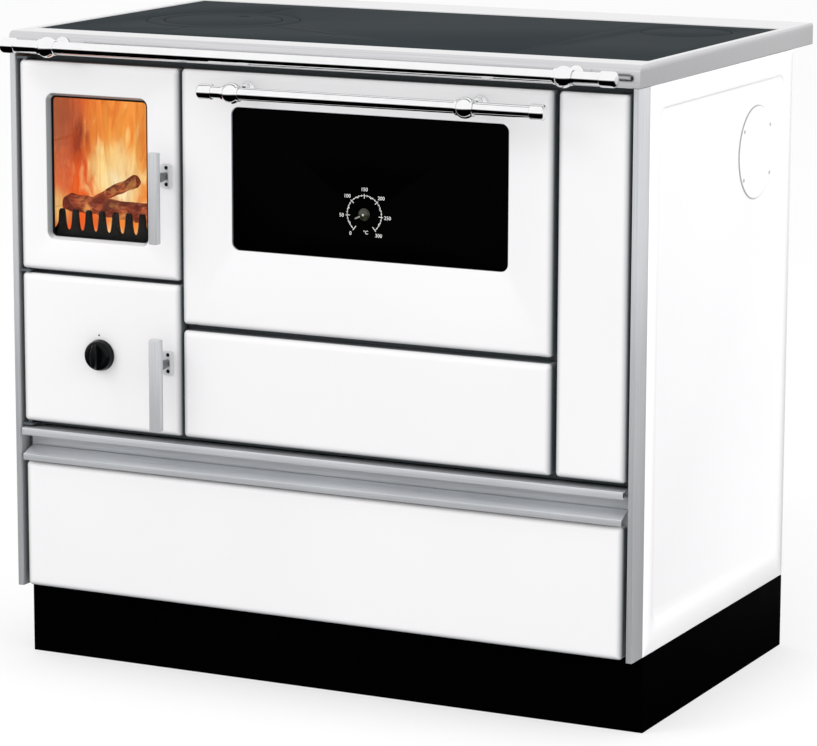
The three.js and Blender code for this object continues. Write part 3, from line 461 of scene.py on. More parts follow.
def m_hob():
    """Ground cast iron cooking plate: satin slate grey with a fine grain and faint grinding marks."""
    t = Tree("hob_iron")
    grain = t.noise(900.0, 4.0, 0.6)
    slow = t.noise(4.0, 3.0)
    grind = t.noise(1.0, 4.0, 0.65, t.obj((8.0, 500.0, 60.0)))
    tone = t.math("ADD", t.math("MULTIPLY", slow, 0.4), t.math("ADD", t.math("MULTIPLY", grain, 0.35), t.math("MULTIPLY", grind, 0.25)))
    col = t.ramp(tone, [(0.35, (0.0235, 0.0305, 0.0335)), (0.65, (0.031, 0.039, 0.043))])
    # painted shade: a near-black line along the joint between the plates and the frame, standing in for the shadow in
    # the gap
    p = t.xyz()
    ax = t.curve(t.span(t.math("ABSOLUTE", p[0]), 0.0, 1.0, 0.4350, 0.4368), [(0.0, 0.0), (1.0, 1.0)])
    ay = t.curve(t.span(t.math("ABSOLUTE", t.math("ADD", p[1], -0.00685)), 0.0, 1.0, 0.2212, 0.2232), [(0.0, 0.0), (1.0, 1.0)])
    joint = t.math("MAXIMUM", ax, ay)
    # the same painted shade round the ring, its lid and the flue cover
    for cx, cy, r in ((-0.2764, -0.00195, 0.1048), (-0.2764, -0.00195, 0.0802), (0.343, 0.13825, 0.0602)):
        dx, dy = t.math("ADD", p[0], -cx), t.math("ADD", p[1], -cy)
        d = t.math("SQRT", t.math("ADD", t.math("MULTIPLY", dx, dx), t.math("MULTIPLY", dy, dy)))
        near = t.span(t.math("ABSOLUTE", t.math("ADD", d, -r)), 0.75, 0.0, 0.0005, 0.0011)
        joint = t.math("MAXIMUM", joint, near)
    col = t.mix(joint, col, (0.003, 0.003, 0.0035))
    t.bsdf(col, t.span(grain, 0.7, 0.85), t.bump(grain, 0.15, 0.0002), Specular_IOR_Level=0.03)
    return t.mat


def m_dark_sheet():
    """Slate grey heat-proof paint on the steel frame behind the doors."""
    t = Tree("dark_sheet")
    n = t.noise(300.0, 4.0, 0.6)
    col = t.ramp(n, [(0.3, (0.062, 0.077, 0.085)), (0.7, (0.084, 0.101, 0.11))])
    t.bsdf(col, t.span(n, 0.4, 0.55), t.bump(n, 0.15, 0.0002), Specular_IOR_Level=0.4)
    return t.mat


def m_cast_iron():
    """Raw black cast iron with a sandy skin and a little ash."""
    t = Tree("cast_iron")
    n = t.noise(260.0, 6.0, 0.65)
    ash = t.noise(18.0, 4.0)
    col = t.ramp(t.math("ADD", t.math("MULTIPLY", n, 0.5), t.math("MULTIPLY", ash, 0.5)), [(0.35, (0.004, 0.005, 0.006)), (0.75, (0.016, 0.017, 0.018))])
    t.bsdf(col, t.span(n, 0.6, 0.85), t.bump(n, 0.5, 0.0006), Specular_IOR_Level=0.2)
    return t.mat


def m_rope():
    """Woven glass fibre rope, grey with soot."""
    t = Tree("seal_rope")
    w = t.node("ShaderNodeTexWave", wave_type="BANDS", bands_direction="DIAGONAL")
    w.inputs["Scale"].default_value = 120.0
    w.inputs["Distortion"].default_value = 1.5
    t.link(t.obj(), w.inputs["Vector"])
    n = t.noise(200.0, 5.0)
    col = t.ramp(t.math("MULTIPLY", w.outputs["Fac"], n), [(0.05, (0.04, 0.04, 0.038)), (0.6, (0.26, 0.255, 0.24))])
    t.bsdf(col, 0.95, t.bump(w.outputs["Fac"], 0.8, 0.001), Sheen_Weight=0.3)
    return t.mat


def m_fire_glass():
    """Clear ceramic glass with a trace of amber."""
    t = Tree("fire_glass")
    n = t.noise(9.0, 4.0)
    col = t.ramp(n, [(0.3, (0.93, 0.90, 0.86)), (0.7, (0.98, 0.97, 0.95))])
    t.bsdf(col, t.span(t.noise(60.0, 3.0), 0.0, 0.03), None, IOR=1.1, Transmission_Weight=1.0, Specular_IOR_Level=0.3)
    return t.mat


def m_black_glass():
    """Opaque black printed glass of the oven door."""
    t = Tree("black_glass")
    n = t.noise(6.0, 3.0)
    col = t.ramp(n, [(0.3, (0.0003, 0.0003, 0.0003)), (0.7, (0.0006, 0.0006, 0.0007))])
    t.bsdf(col, t.span(t.noise(25.0, 4.0), 0.04, 0.1), None, Specular_IOR_Level=0.008)
    return t.mat


def m_plastic():
    """Glossy black phenolic of the knob."""
    t = Tree("black_plastic")
    n = t.noise(500.0, 3.0)
    col = t.ramp(n, [(0.3, (0.0012, 0.0016, 0.0018)), (0.7, (0.003, 0.0035, 0.004))])
    t.bsdf(col, t.span(t.noise(30.0, 4.0), 0.12, 0.24), t.bump(n, 0.04, 0.0002), Specular_IOR_Level=0.14)
    return t.mat


def m_white_paint():
    """White print and needle paint."""
    t = Tree("white_paint")
    n = t.noise(900.0, 3.0)
    col = t.ramp(n, [(0.3, (0.78, 0.78, 0.76)), (0.7, (0.88, 0.88, 0.86))])
    t.bsdf(col, t.span(n, 0.4, 0.55), t.bump(n, 0.1, 0.0001))
    return t.mat


MAT = {
    "white_enamel": m_enamel(),
    "black_enamel": m_black_enamel(),
    "aluminium": m_post(),
    "aluminium_x": m_trim(),
    "polished_steel": m_top_frame(),
    "chrome": m_chrome(),
    "hob_iron": m_hob(),
    "dark_sheet": m_dark_sheet(),
    "cast_iron": m_cast_iron(),
    "sheet_steel": m_brushed("sheet_steel", (0.3, 0.31, 0.32), (0.48, 0.49, 0.5), 2, (0.35, 0.5), streak=500.0),
    "firebrick": m_brick(),
    "seal_rope": m_rope(),
    "fire_glass": m_fire_glass(),
    "black_glass": m_black_glass(),
    "black_plastic": m_plastic(),
    "white_paint": m_white_paint(),
}
SLOT = {s["node"]: s["material_slot"] for s in frame["record"]["subparts"]}

# ------------------------------------------------------------------ CAD nodes that stay
smooth_group = bpy.data.node_groups.new("soft_shade", "GeometryNodeTree")
smooth_group.interface.new_socket("Geometry", in_out="INPUT", socket_type="NodeSocketGeometry")
smooth_group.interface.new_socket("Geometry", in_out="OUTPUT", socket_type="NodeSocketGeometry")
_n = smooth_group.nodes
gi, go = _n.new("NodeGroupInput"), _n.new("NodeGroupOutput")
rm = _n.new("GeometryNodeRemoveAttribute")
rm.inputs["Name"].default_value = "custom_normal"
sf = _n.new("GeometryNodeSetShadeSmooth")
sf.domain = "FACE"
se = _n.new("GeometryNodeSetShadeSmooth")
se.domain = "EDGE"
se.inputs["Shade Smooth"].default_value = False
ea = _n.new("GeometryNodeInputMeshEdgeAngle")
cmpn = _n.new("FunctionNodeCompare")
cmpn.data_type, cmpn.operation = "FLOAT", "GREATER_THAN"
cmpn.inputs[1].default_value = math.radians(32)
L = smooth_group.links.new
L(gi.outputs[0], rm.inputs[0])
L(rm.outputs[0], sf.inputs[0])
L(sf.outputs[0], se.inputs[0])
L(ea.outputs[0], cmpn.inputs[0])
L(cmpn.outputs[0], se.inputs["Selection"])
L(se.outputs[0], go.inputs[0])


def dress(o, bevel=0.0006, segments=2, dissolve=True):
    """Weld, clear coplanar edges, ease sharp edges and shade softly."""
    w = o.modifiers.new("weld", "WELD")
    w.merge_threshold = 0.00001
    if dissolve:
        d = o.modifiers.new("flats", "DECIMATE")
        d.decimate_type = "DISSOLVE"
        d.angle_limit = math.radians(0.5)
    if bevel:
        b = o.modifiers.new("edges", "BEVEL")
        b.width = bevel
        b.segments = segments
        b.limit_method = "ANGLE"
        b.angle_limit = math.radians(40)
        b.use_clamp_overlap = True
    g = o.modifiers.new("shade", "NODES")
    g.node_group = smooth_group


def paint(o, mat):
    o.data.materials.clear()
    o.data.materials.append(mat)


HORIZONTAL = {"trim_channel", "drawer_grip"}
for name, o in NODES.items():
    slot = SLOT[name]
    paint(o, MAT["aluminium_x"] if name in HORIZONTAL else MAT[slot])

# ------------------------------------------------------------------ mesh helpers
PIECES = []


def add(name, verts, faces, mat, body, replaces=(), smooth=True, mats=None, face_mats=None):
    me = bpy.data.meshes.new(name)
    me.from_pydata([tuple(P(*v)) for v in verts], [], faces)
    me.validate()
    o = bpy.data.objects.new(name, me)
    bpy.context.scene.collection.objects.link(o)
    me.materials.append(mat)
    for extra in mats or ():
        me.materials.append(extra)
    if face_mats:
        me.polygons.foreach_set("material_index", face_mats)
    bm = bmesh.new()
    bm.from_mesh(me)
    bmesh.ops.recalc_face_normals(bm, faces=bm.faces)
    bm.to_mesh(me)
    bm.free()
    me.polygons.foreach_set("use_smooth", [smooth] * len(me.polygons))
    if smooth:
        me.set_sharp_from_angle(angle=math.radians(32))
    me.update()
    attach(o, body)
    if replaces:
        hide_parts(*replaces)
    PIECES.append(o)
    return o


def notch(o, boxes):
    """Cut square notches out of a piece."""
    verts, faces = [], []
    for x0, x1, y0, y1, z0, z1 in boxes:
        n = len(verts)
        verts += [tuple(P(x, y, z)) for z in (z0, z1) for y in (y0, y1) for x in (x0, x1)]
        faces += [tuple(n + i for i in f) for f in ((0, 2, 3, 1), (4, 5, 7, 6), (0, 1, 5, 4), (2, 6, 7, 3), (0, 4, 6, 2), (1, 3, 7, 5))]
    tool_mesh = bpy.data.meshes.new("notch_tool")
    tool_mesh.from_pydata(verts, [], faces)
    tool = bpy.data.objects.new("notch_tool", tool_mesh)
    blank = bpy.data.objects.new("notch_blank", o.data)
    for thing in (tool, blank):
        bpy.context.scene.collection.objects.link(thing)
    m = blank.modifiers.new("notch", "BOOLEAN")
    m.operation = "DIFFERENCE"
    m.solver = "EXACT"
    m.object = tool
    graph = bpy.context.evaluated_depsgraph_get()
    graph.update()
    me = bpy.data.meshes.new_from_object(blank.evaluated_get(graph))
    for thing in (tool, blank):
        bpy.data.objects.remove(thing)
    bpy.data.meshes.remove(tool_mesh)
    o.data = me
    return o


class Soup:
    """Collects several closed shells into one mesh."""

    def __init__(self):
        self.v, self.f, self.m = [], [], []

    def put(self, verts, faces, mat=0):
        k = len(self.v)
        self.v += [tuple(v) for v in verts]
        self.f += [tuple(i + k for i in f) for f in faces]
        self.m += [mat] * len(faces)

    def loft(self, loops, cap0=True, cap1=True, closed=False, mat=0):
        n = len(loops[0])
        verts = [p for lp in loops for p in lp]
        faces = []
        rows = len(loops) if closed else len(loops) - 1
        for i in range(rows):
            a, b = i * n, ((i + 1) % len(loops)) * n
            for j in range(n):
                k = (j + 1) % n
                faces.append((a + j, a + k, b + k, b + j))
        if not closed:
            if cap0:
                faces.append(tuple(range(n)))
            if cap1:
                faces.append(tuple(range((len(loops) - 1) * n, len(loops) * n)))
        self.put(verts, faces, mat)

    def lathe(self, profile, frame_fn, segments=48, mat=0):
        """profile: [radius, t]; frame_fn(r, angle, t) gives the point. Ends at radius 0 close to a point."""
        verts, faces, rings = [], [], []
        for r, t in profile:
            if r < 1e-6:
                rings.append([len(verts)])
                verts.append(frame_fn(0.0, 0.0, t))
            else:
                rings.append(list(range(len(verts), len(verts) + segments)))
                verts += [frame_fn(r, 2 * math.pi * i / segments, t) for i in range(segments)]
        for a, b in zip(rings, rings[1:]):
            for j in range(segments):
                k = (j + 1) % segments
                if len(a) == 1 and len(b) == 1:
                    continue
                if len(a) == 1:
                    faces.append((a[0], b[j], b[k]))
                elif len(b) == 1:
                    faces.append((a[j], a[k], b[0]))
                else:
                    faces.append((a[j], a[k], b[k], b[j]))
        if len(rings[0]) > 1 and len(rings[-1]) > 1:
            if profile[0] == profile[-1]:
                pass
            else:
                for j in range(segments):
                    k = (j + 1) % segments
                    a, b = rings[-1], rings[0]
                    faces.append((a[j], a[k], b[k], b[j]))
        self.put(verts, faces, mat)

    def make(self, name, mat, body, slot, replaces=(), mats=None, smooth=True):
        return add(name, self.v, self.f, mat, body, replaces, smooth, mats, self.m)


def about_x(y, z):
    return lambda r, a, t: (t, y + r * math.cos(a), z + r * math.sin(a))


def about_y(x, z):
    return lambda r, a, t: (x + r * math.cos(a), t, z + r * math.sin(a))


def about_z(x, y):
    return lambda r, a, t: (x + r * math.cos(a), y + r * math.sin(a), t)


def rrect(x0, x1, z0, z1, r, n=8):
    r = max(0.01, min(r, (x1 - x0) / 2 - 0.01, (z1 - z0) / 2 - 0.01))
    pts = []
    for cx, cz, a0 in (
        (x1 - r, z0 + r, -90),
        (x1 - r, z1 - r, 0),
        (x0 + r, z1 - r, 90),
        (x0 + r, z0 + r, 180),
    ):
        for i in range(n + 1):
            a = math.radians(a0 + 90.0 * i / n)
            pts.append((cx + r * math.cos(a), cz + r * math.sin(a)))
    return pts


def inset(rect, d):
    return (rect[0] + d, rect[1] - d, rect[2] + d, rect[3] - d)


def arc(c0, c1, r, a0, a1, n):
    return [
        (c0 + r * math.cos(math.radians(a0 + (a1 - a0) * i / n)), c1 + r * math.sin(math.radians(a0 + (a1 - a0) * i / n)))
        for i in range(n + 1)
    ]


# ------------------------------------------------------------------ enamelled panels
def panel(name, node, rect, body, depth, skin, corner=6.0, edge=(8.6, 6.2), wall=2.5, window=None, n=8):
    """A pressed and enamelled panel: rolled front edge, open pocket behind, optional window.
    window: (rect, corner radius, [(inset, y), ...]) from the front face back."""
    ex, ey = edge
    s = Soup()

    def ring(d, y, r):
        return [(x, y, z) for x, z in rrect(*inset(rect, d), r, n)]

    loops = [
        ring(wall, skin, corner - wall),
        ring(wall, depth - 0.4, corner - wall),
        ring(wall - 0.4, depth, corner - wall),
        ring(0.6, depth, corner - 0.6),
        ring(0.0, depth - 0.6, corner),
        ring(0.0, ey + 0.5, corner),
    ]
    for k in range(0, 10):
        a = math.radians(90.0 * k / 9)
        d = ex * (1 - math.cos(a))
        loops.append(ring(d, ey * (1 - math.sin(a)), max(1.5, corner - d * 0.55)))
    loops.append(ring(ex + 1.5, 0.0, max(1.5, corner - ex * 0.55)))
    if window is None:
        s.loft(loops)
    else:
        wr, wc, prof = window
        for d, y in prof:
            loops.append([(x, y, z) for x, z in rrect(*inset(wr, d), max(0.8, wc - d * (1.2 if d > 0 else 0.5)), n)])
        s.loft(loops, closed=True)
    return s, loops


FIRE_DOOR = (-436.5, -195.0, 534.5, 812.5)
ASH_DOOR = (-436.5, -195.0, 328.0, 529.5)
OVEN_DOOR = (-191.8, 335.0, 478.5, 813.0)
MIDDLE = (-191.8, 335.0, 328.0, 471.0)
NARROW = (341.2, 436.7, 328.0, 813.0)
DRAWER = (-435.0, 435.0, 101.5, 273.0)
FIRE_WINDOW = (-395.0, -241.5, 577.0, 771.0)
OVEN_WINDOW = (-116.6, 275.0, 582.5, 768.0)
ENAMEL = MAT["white_enamel"]
FRONT = m_front_enamel()
SIDE = m_side_enamel()

s, _ = panel(
    "fire_door_enamel", "fire_door_panel", FIRE_DOOR, "fire_door", 18.0, 9.2,
    window=(
        FIRE_WINDOW, 11.0,
        [(-1.2, 0.0), (-0.5, 0.12), (0.0, 0.45), (0.3, 0.9), (3.3, 6.0), (3.55, 6.5), (3.7, 7.2), (3.7, 9.2)],
    ),
)
s.make("fire_door_enamel", FRONT, "fire_door", "white_enamel", ("fire_door_panel",))
s = Soup()
s.loft(
    [
        [(x, y, z) for x, z in rrect(*inset(FIRE_WINDOW, d), r, 8)]
        for d, y, r in ((3.8, 9.35, 6.4), (3.8, 7.7, 6.4), (4.2, 7.2, 6.0), (5.2, 7.3, 5.4), (6.0, 8.0, 5.0), (6.1, 9.35, 4.9))
    ],
    closed=True,
)
s.make("fire_glass_gasket", m_gasket(), "fire_door", "seal_rope")
s, _ = panel("ash_door_enamel", "ash_door_panel", ASH_DOOR, "ash_door", 18.0, 3.0)
s.make("ash_door_enamel", FRONT, "ash_door", "white_enamel", ("ash_door_panel",))
s, _ = panel(
    "oven_door_enamel", "oven_door_panel", OVEN_DOOR, "oven_door", 18.0, 3.2,
    window=(OVEN_WINDOW, 10.0, [(-1.2, 0.0), (-0.6, 0.1), (-0.15, 0.4), (0.0, 0.8), (0.0, 3.2)]),
)
oven_skin = s.make("oven_door_enamel", FRONT, "oven_door", "white_enamel", ("oven_door_panel",))
notch(oven_skin, [(hx - 1.5, hx + 6.5, 3.0, 19.0, 477.5, 481.5) for hx in (-176.0, 314.0)])
s, _ = panel("middle_enamel", "middle_panel", MIDDLE, "stove_body", 24.0, 3.0)
s.make("middle_enamel", FRONT, "stove_body", "white_enamel", ("middle_panel",))
s, _ = panel("narrow_enamel", "narrow_panel", NARROW, "stove_body", 24.0, 3.0)
s.make("narrow_enamel", FRONT, "stove_body", "white_enamel", ("narrow_panel",))
s, _ = panel("drawer_enamel", "drawer_front", DRAWER, "wood_drawer", 16.7, 3.0)
s.make("drawer_enamel", FRONT, "wood_drawer", "white_enamel", ("drawer_front",))


# ------------------------------------------------------------------ side panels with a pressed field
def side_panel(sign, name, node):
    y0, y1, z0, z1 = 34.3, 525.0, 99.5, 821.0
    F = (66.0, 498.0, 136.0, 790.0)
    s = Soup()

    def ring(rect, r, x):
        return [(sign * x, y, z) for y, z in rrect(*rect, r, 12)]

    loops = [
        ring(inset(F, -3), 23, 444.0),
        ring(inset(F, -3), 23, 446.9),
        ring((y0 + 1, y1 - 1, z0 + 1, z1 - 1), 1.0, 446.9),
        ring((y0, y1, z0, z1), 1.0, 447.5),
        ring((y0, y1, z0, z1), 1.0, 449.2),
        ring(inset((y0, y1, z0, z1), 0.3), 0.9, 449.75),
        ring(inset((y0, y1, z0, z1), 0.8), 0.8, 450.0),
        ring(inset(F, -1.6), 21.6, 450.0),
        ring(inset(F, -1.0), 21.0, 449.85),
        ring(inset(F, -0.4), 20.4, 449.3),
        ring(inset(F, 0.2), 19.8, 448.5),
        ring(inset(F, 0.8), 19.2, 447.8),
        ring(inset(F, 1.5), 18.5, 447.4),
        ring(inset(F, 3.0), 17.0, 447.2),
    ]
    s.loft(loops)
    return s.make(name, SIDE, "stove_body", "white_enamel", (node,))


side_panel(1, "right_side_enamel", "right_side_panel")
side_panel(-1, "left_side_enamel", "left_side_panel")

# round blank cover on the right side, with its four screws
s = Soup()
s.lathe(
    [(0, 447.25), (60.6, 447.25), (61.0, 447.5), (61.0, 448.4), (60.8, 448.8), (60.3, 449.05), (59.5, 449.15), (57.0, 449.2), (0, 449.2)],
    lambda r, a, t: (t, 401.0 + r * math.cos(a), 697.0 + r * math.sin(a)),
    72,
)
for dy, dz in ((-46, 32), (46, 32), (-46, -32), (46, -32)):
    s.lathe(
        [(0, 449.0), (2.7, 449.0), (2.7, 449.35), (2.2, 449.7), (1.2, 449.85), (0.9, 449.5), (0, 449.45)],
        lambda r, a, t, dy=dy, dz=dz: (t, 401.0 + dy + r * math.cos(a), 697.0 + dz + r * math.sin(a)),
        16, mat=1,
    )
s.make(
    "side_cover", SIDE, "stove_body", "white_enamel", ("side_flue_cover",),
    mats=[m_brushed("screw_steel", (0.40, 0.41, 0.42), (0.60, 0.61, 0.62), 1, (0.35, 0.5), metallic=0.4)],
)

# ------------------------------------------------------------------ top frame
s = Soup()


def frame_ring(xo, yf, yb, z, r=0.6):
    return [(x, y, z) for x, y in rrect(-450 + xo, 450 - xo, yf, yb, r, 3)]


loops = [
    frame_ring(0.5, 0.5, 599.5, 821.3),
    frame_ring(0.0, 0.0, 600.0, 821.8),
    frame_ring(0.0, 0.0, 600.0, 841.6),
]
for k in range(1, 13):
    a = math.radians(90.0 * k / 12)
    loops.append(
        frame_ring(
            0.9 * (1 - math.cos(a)) if k > 6 else 0.0,
            8.0 * (1 - math.cos(a)),
            600.0 - 3.0 * (1 - math.cos(a)),
            842.0 + 8.0 * math.sin(a),
        )
    )
loops += [
    frame_ring(1.6, 9.2, 596.0, 850.0),
    [(x, y, 850.0) for x, y in rrect(-439.3, 439.3, 50.2, 504.3, 3.0, 3)],
    [(x, y, 849.5) for x, y in rrect(-438.6, 438.6, 50.9, 503.6, 2.4, 3)],
    [(x, y, 848.6) for x, y in rrect(-438.4, 438.4, 51.1, 503.4, 2.2, 3)],
    [(x, y, 838.4) for x, y in rrect(-438.4, 438.4, 51.1, 503.4, 2.2, 3)],
    [(x, y, 838.4) for x, y in rrect(-428.0, 428.0, 63.0, 492.0, 1.5, 3)],
    [(x, y, 836.6) for x, y in rrect(-428.0, 428.0, 63.0, 492.0, 1.5, 3)],
    [(x, y, 836.6) for x, y in rrect(-444.0, 444.0, 8.0, 594.0, 1.5, 3)],
    [(x, y, 822.3) for x, y in rrect(-446.0, 446.0, 4.0, 596.0, 1.5, 3)],
    [(x, y, 821.3) for x, y in rrect(-446.5, 446.5, 3.5, 596.5, 1.5, 3)],
]
s.loft(loops, closed=True)
s.make("top_frame_steel", MAT["polished_steel"], "stove_body", "polished_steel", ("top_frame",))

# ------------------------------------------------------------------ hob ring and flue cover
TOP = 848.8
LOW = 838.7


def disc(name, node, cx, cy, r_out, r_low, body, r_in=None, r_in_low=None, lifter=False):
    s = Soup()
    if r_in is None:
        prof = [(0, LOW), (r_low - 0.6, LOW), (r_low, LOW + 0.6), (r_low, 844.1), (r_out - 0.4, 844.1), (r_out, 844.5), (r_out, TOP - 0.9), (r_out - 0.3, TOP - 0.3), (r_out - 0.9, TOP), (0, TOP)]
    else:
        prof = [(r_in_low, LOW), (r_low, LOW), (r_low, 844.1), (r_out, 844.1), (r_out, TOP - 0.9), (r_out - 0.3, TOP - 0.3), (r_out - 0.9, TOP), (r_in + 0.9, TOP), (r_in + 0.3, TOP - 0.3), (r_in, TOP - 0.9), (r_in, 843.8), (r_in_low, 843.8)]
    s.lathe(prof, about_z(cx, cy), 96)
    return s.make(name, MAT["hob_iron"], body, "hob_iron", (node,))


disc("cook_ring", "hob_ring", -276.4, 268.3, 104.4, 97.4, "hob_ring", 80.5, 74.5)
disc("flue_cover", "hob_flue_cover", 343.0, 408.5, 59.9, 53.9, "stove_body")

# ------------------------------------------------------------------ rail and oven handle
BAR_Y = -46.0
RAIL_Y = -40.3


def bar(name, node, x0, x1, y, z, ls, rs, body):
    S, R = 10.0, 8.0
    prof = [(0, x0)]
    prof += [(S - 4.5 + 4.5 * math.sin(math.radians(a)), x0 + 4.5 * (1 - math.cos(math.radians(a)))) for a in range(0, 91, 10)]
    prof += [
        (S, x0 + ls - 1.6), (S - 0.2, x0 + ls - 0.9), (S - 0.7, x0 + ls - 0.3), (R + 0.9, x0 + ls), (R + 0.25, x0 + ls + 0.1), (R, x0 + ls + 0.5),
        (R, x1 - rs - 0.5), (R + 0.25, x1 - rs - 0.1), (R + 0.9, x1 - rs), (S - 0.7, x1 - rs + 0.3), (S - 0.2, x1 - rs + 0.9), (S, x1 - rs + 1.6),
    ]
    prof += [(S - 4.5 + 4.5 * math.sin(math.radians(a)), x1 - 4.5 * (1 - math.cos(math.radians(a)))) for a in range(90, -1, -10)]
    prof += [(0, x1)]
    s = Soup()
    s.lathe(prof, about_x(y, z), 64)
    return s.make(name, MAT["chrome"], body, "chrome", (node,))


def bracket(name, node, x, y, z, body):
    s = Soup()
    B = 13.5
    # ball turned about the bar, with a collar where the bar enters on each side
    prof = [(8.3, -12.6), (9.3, -12.6), (9.9, -12.3), (10.1, -11.7), (10.1, -10.6)]
    a0 = math.degrees(math.acos(-9.2 / B))
    a1 = 180 - a0
    prof += [(B * math.sin(math.radians(a)), B * math.cos(math.radians(a))) for a in [a0 + (a1 - a0) * i / 20 for i in range(21)]]
    prof += [(10.1, 10.6), (10.1, 11.7), (9.9, 12.3), (9.3, 12.6), (8.3, 12.6)]
    s.lathe(prof, lambda r, a, t: (x + t, y + r * math.cos(a), z + r * math.sin(a)), 48)
    # stem and stepped rosette
    prof = [
        (0, y + 11), (6.0, y + 11), (6.0, y + 13), (6.4, y + 15), (6.4, -8.0), (6.7, -6.6), (7.6, -5.9), (8.2, -5.7), (8.4, -5.2),
        (8.5, -4.6), (9.3, -4.3), (10.0, -3.8), (10.4, -2.9), (10.5, -1.8), (10.5, -0.35), (0, -0.35),
    ]
    s.lathe(prof, about_y(x, z), 40)
    return s.make(name, MAT["chrome"], body, "chrome", (node,))


bar("rail_bar", "front_rail", -435.5, 436.5, RAIL_Y, 835.7, 21, 21, "stove_body")
bracket("rail_ball_left", "rail_bracket_left", -366.4, RAIL_Y, 835.7, "stove_body")
bracket("rail_ball_right", "rail_bracket_right", 366.4, RAIL_Y, 835.7, "stove_body")
bar("handle_bar", "oven_door_handle", -139.0, 345.0, BAR_Y, 791.5, 21, 19, "oven_door")
bracket("handle_ball_left", "handle_bracket_left", -91.0, BAR_Y, 791.5, "oven_door")
bracket("handle_ball_right", "handle_bracket_right", 237.0, BAR_Y, 791.5, "oven_door")


# ------------------------------------------------------------------ door levers and latch plates
LEVER = m_lever()
SHAFT = m_brushed("shaft_steel", (0.16, 0.17, 0.18), (0.34, 0.35, 0.36), 1, (0.3, 0.45), metallic=0.8, streak=400.0)


def lever_piece(name, node, z, z0, z1, w, d, r, body):
    s = Soup()
    X, Y = -213.5, -32.0

    def sect(k, zz):
        return [(x, y, zz) for x, y in rrect(X - w / 2 + k, X + w / 2 - k, Y - d / 2 + k, Y + d / 2 - k, r - k * 0.7, 6)]

    e = 1.6
    loops = [sect(e * (1 - math.sin(math.radians(a))), z0 + e * (1 - math.cos(math.radians(a)))) for a in range(0, 91, 18)]
    loops += [sect(e * (1 - math.sin(math.radians(a))), z1 - e * (1 - math.cos(math.radians(a)))) for a in range(90, -1, -18)]
    s.loft(loops)
    s.lathe(
        [
            (0, -32.0), (4.6, -32.0), (4.6, -25.8), (5.4, -24.8), (6.3, -22.6), (6.7, -19.0), (6.5, -15.2), (5.9, -12.2), (5.2, -10.2), (5.0, -9.5),
            (5.0, 21.2), (0, 21.5),
        ],
        about_y(X, z), 32, mat=1,
    )
    s.loft([[(x, y, zz) for x, zz in rrect(X - 3.4, X + 3.4, z - 9, z + 3.4, 2.5, 3)] for y in (18.2, 21.5)], mat=1)
    return s.make(name, LEVER, body, "aluminium", (node,), mats=[SHAFT])


lever_piece("fire_lever_bar", "fire_door_lever", 672.5, 587.0, 706.5, 13.6, 10.0, 1.7, "fire_lever")
lever_piece("ash_lever_bar", "ash_door_lever", 425.7, 340.7, 462.0, 17.0, 12.0, 3.4, "ash_lever")


def latch_piece(name, node, z, body):
    s = Soup()
    x0 = -221.5
    X = -213.5
    # base plate with a rounded lower end
    outline = rrect(x0, x0 + 16.5, z - 16, z + 16, 4.0, 6)
    s.loft([[(x, y, zz) for x, zz in outline] for y in (-0.3, -1.6)] + [[(x, -2.0, zz) for x, zz in rrect(x0 + 0.4, x0 + 16.1, z - 15.6, z + 15.6, 3.7, 6)]])
    # flange turned out on the right edge
    s.loft([[(x, y, zz) for y, zz in rrect(-7.9, -0.4, z - 15.8, z + 15.8, 2.5, 6)] for x in (x0 + 14.7, x0 + 16.3)])
    for dz in (10.9, -10.9):
        s.lathe(
            [(0, -2.0), (2.5, -2.0), (2.5, -2.5), (2.1, -2.9), (1.5, -3.0), (1.1, -2.5), (0, -2.45)],
            about_y(X + 1, z + dz), 20, mat=1,
        )
    return s.make(name, MAT["latch_steel"], body, "sheet_steel", (node,), mats=[MAT["cast_iron"]])


MAT["latch_steel"] = m_latch()
latch_piece("fire_latch_base", "fire_latch_plate", 672.5, "fire_door")
latch_piece("ash_latch_base", "ash_latch_plate", 425.7, "ash_door")

# ------------------------------------------------------------------ air knob
KX, KZ, KR = -315.5, 427.5, 21.0
s = Soup()
prof = [(0, -12.2), (4.0, -12.25), (9.0, -12.6), (13.0, -12.9), (15.5, -12.8), (17.2, -12.2), (18.5, -11.2), (19.3, -9.8), (19.8, -8.0), (20.2, -5.0), (20.6, -2.4), (20.9, -1.9), (21.0, -1.4), (20.8, -0.9), (20.4, -0.6), (3.3, -0.6), (3.3, 21.3), (0, 21.3)]
s.lathe(prof, about_y(KX, KZ), 64)
# upright grip: a lens-shaped fin with a domed crest
rows = 12
loops = []
for k in range(rows + 1):
    a = math.radians(90.0 * k / rows)
    lift = math.sin(a)
    shrink = math.cos(a) * 0.55 + 0.45 if k < rows else 0.42
    y = -12.0 - 11.0 * lift
    pts = []
    n = 28
    for i in range(n):
        u = 2 * math.pi * i / n
        z = 16.8 * math.cos(u) * (0.62 + 0.38 * math.cos(a) ** 0.6 if k < rows else 0.62)
        w = 5.6 * shrink
        x = w * math.copysign(abs(math.sin(u)) ** 1.25, math.sin(u))
        pts.append((KX + x, y, KZ + z))
    loops.append(pts)
s.loft(loops)
s.make("knob_black", MAT["black_plastic"], "air_control", "black_plastic", ("air_knob",))
# the dark dot above the knob that marks its zero
s = Soup()
s.lathe([(0, -0.02), (1.25, -0.02), (1.25, -0.12), (1.1, -0.16), (0, -0.16)], about_y(-317.9, 453.8), 20)
s.make("knob_mark", MAT["black_plastic"], "ash_door", "black_plastic")

# ------------------------------------------------------------------ oven thermometer print, hub and needle
DX, DZ = 73.0, 641.0
ANG0, ANG1 = 232.0, -52.0  # 0 degrees at lower left, 300 at lower right


def dial_angle(value):
    return math.radians(ANG0 + (ANG1 - ANG0) * value / 300.0)


s = Soup()


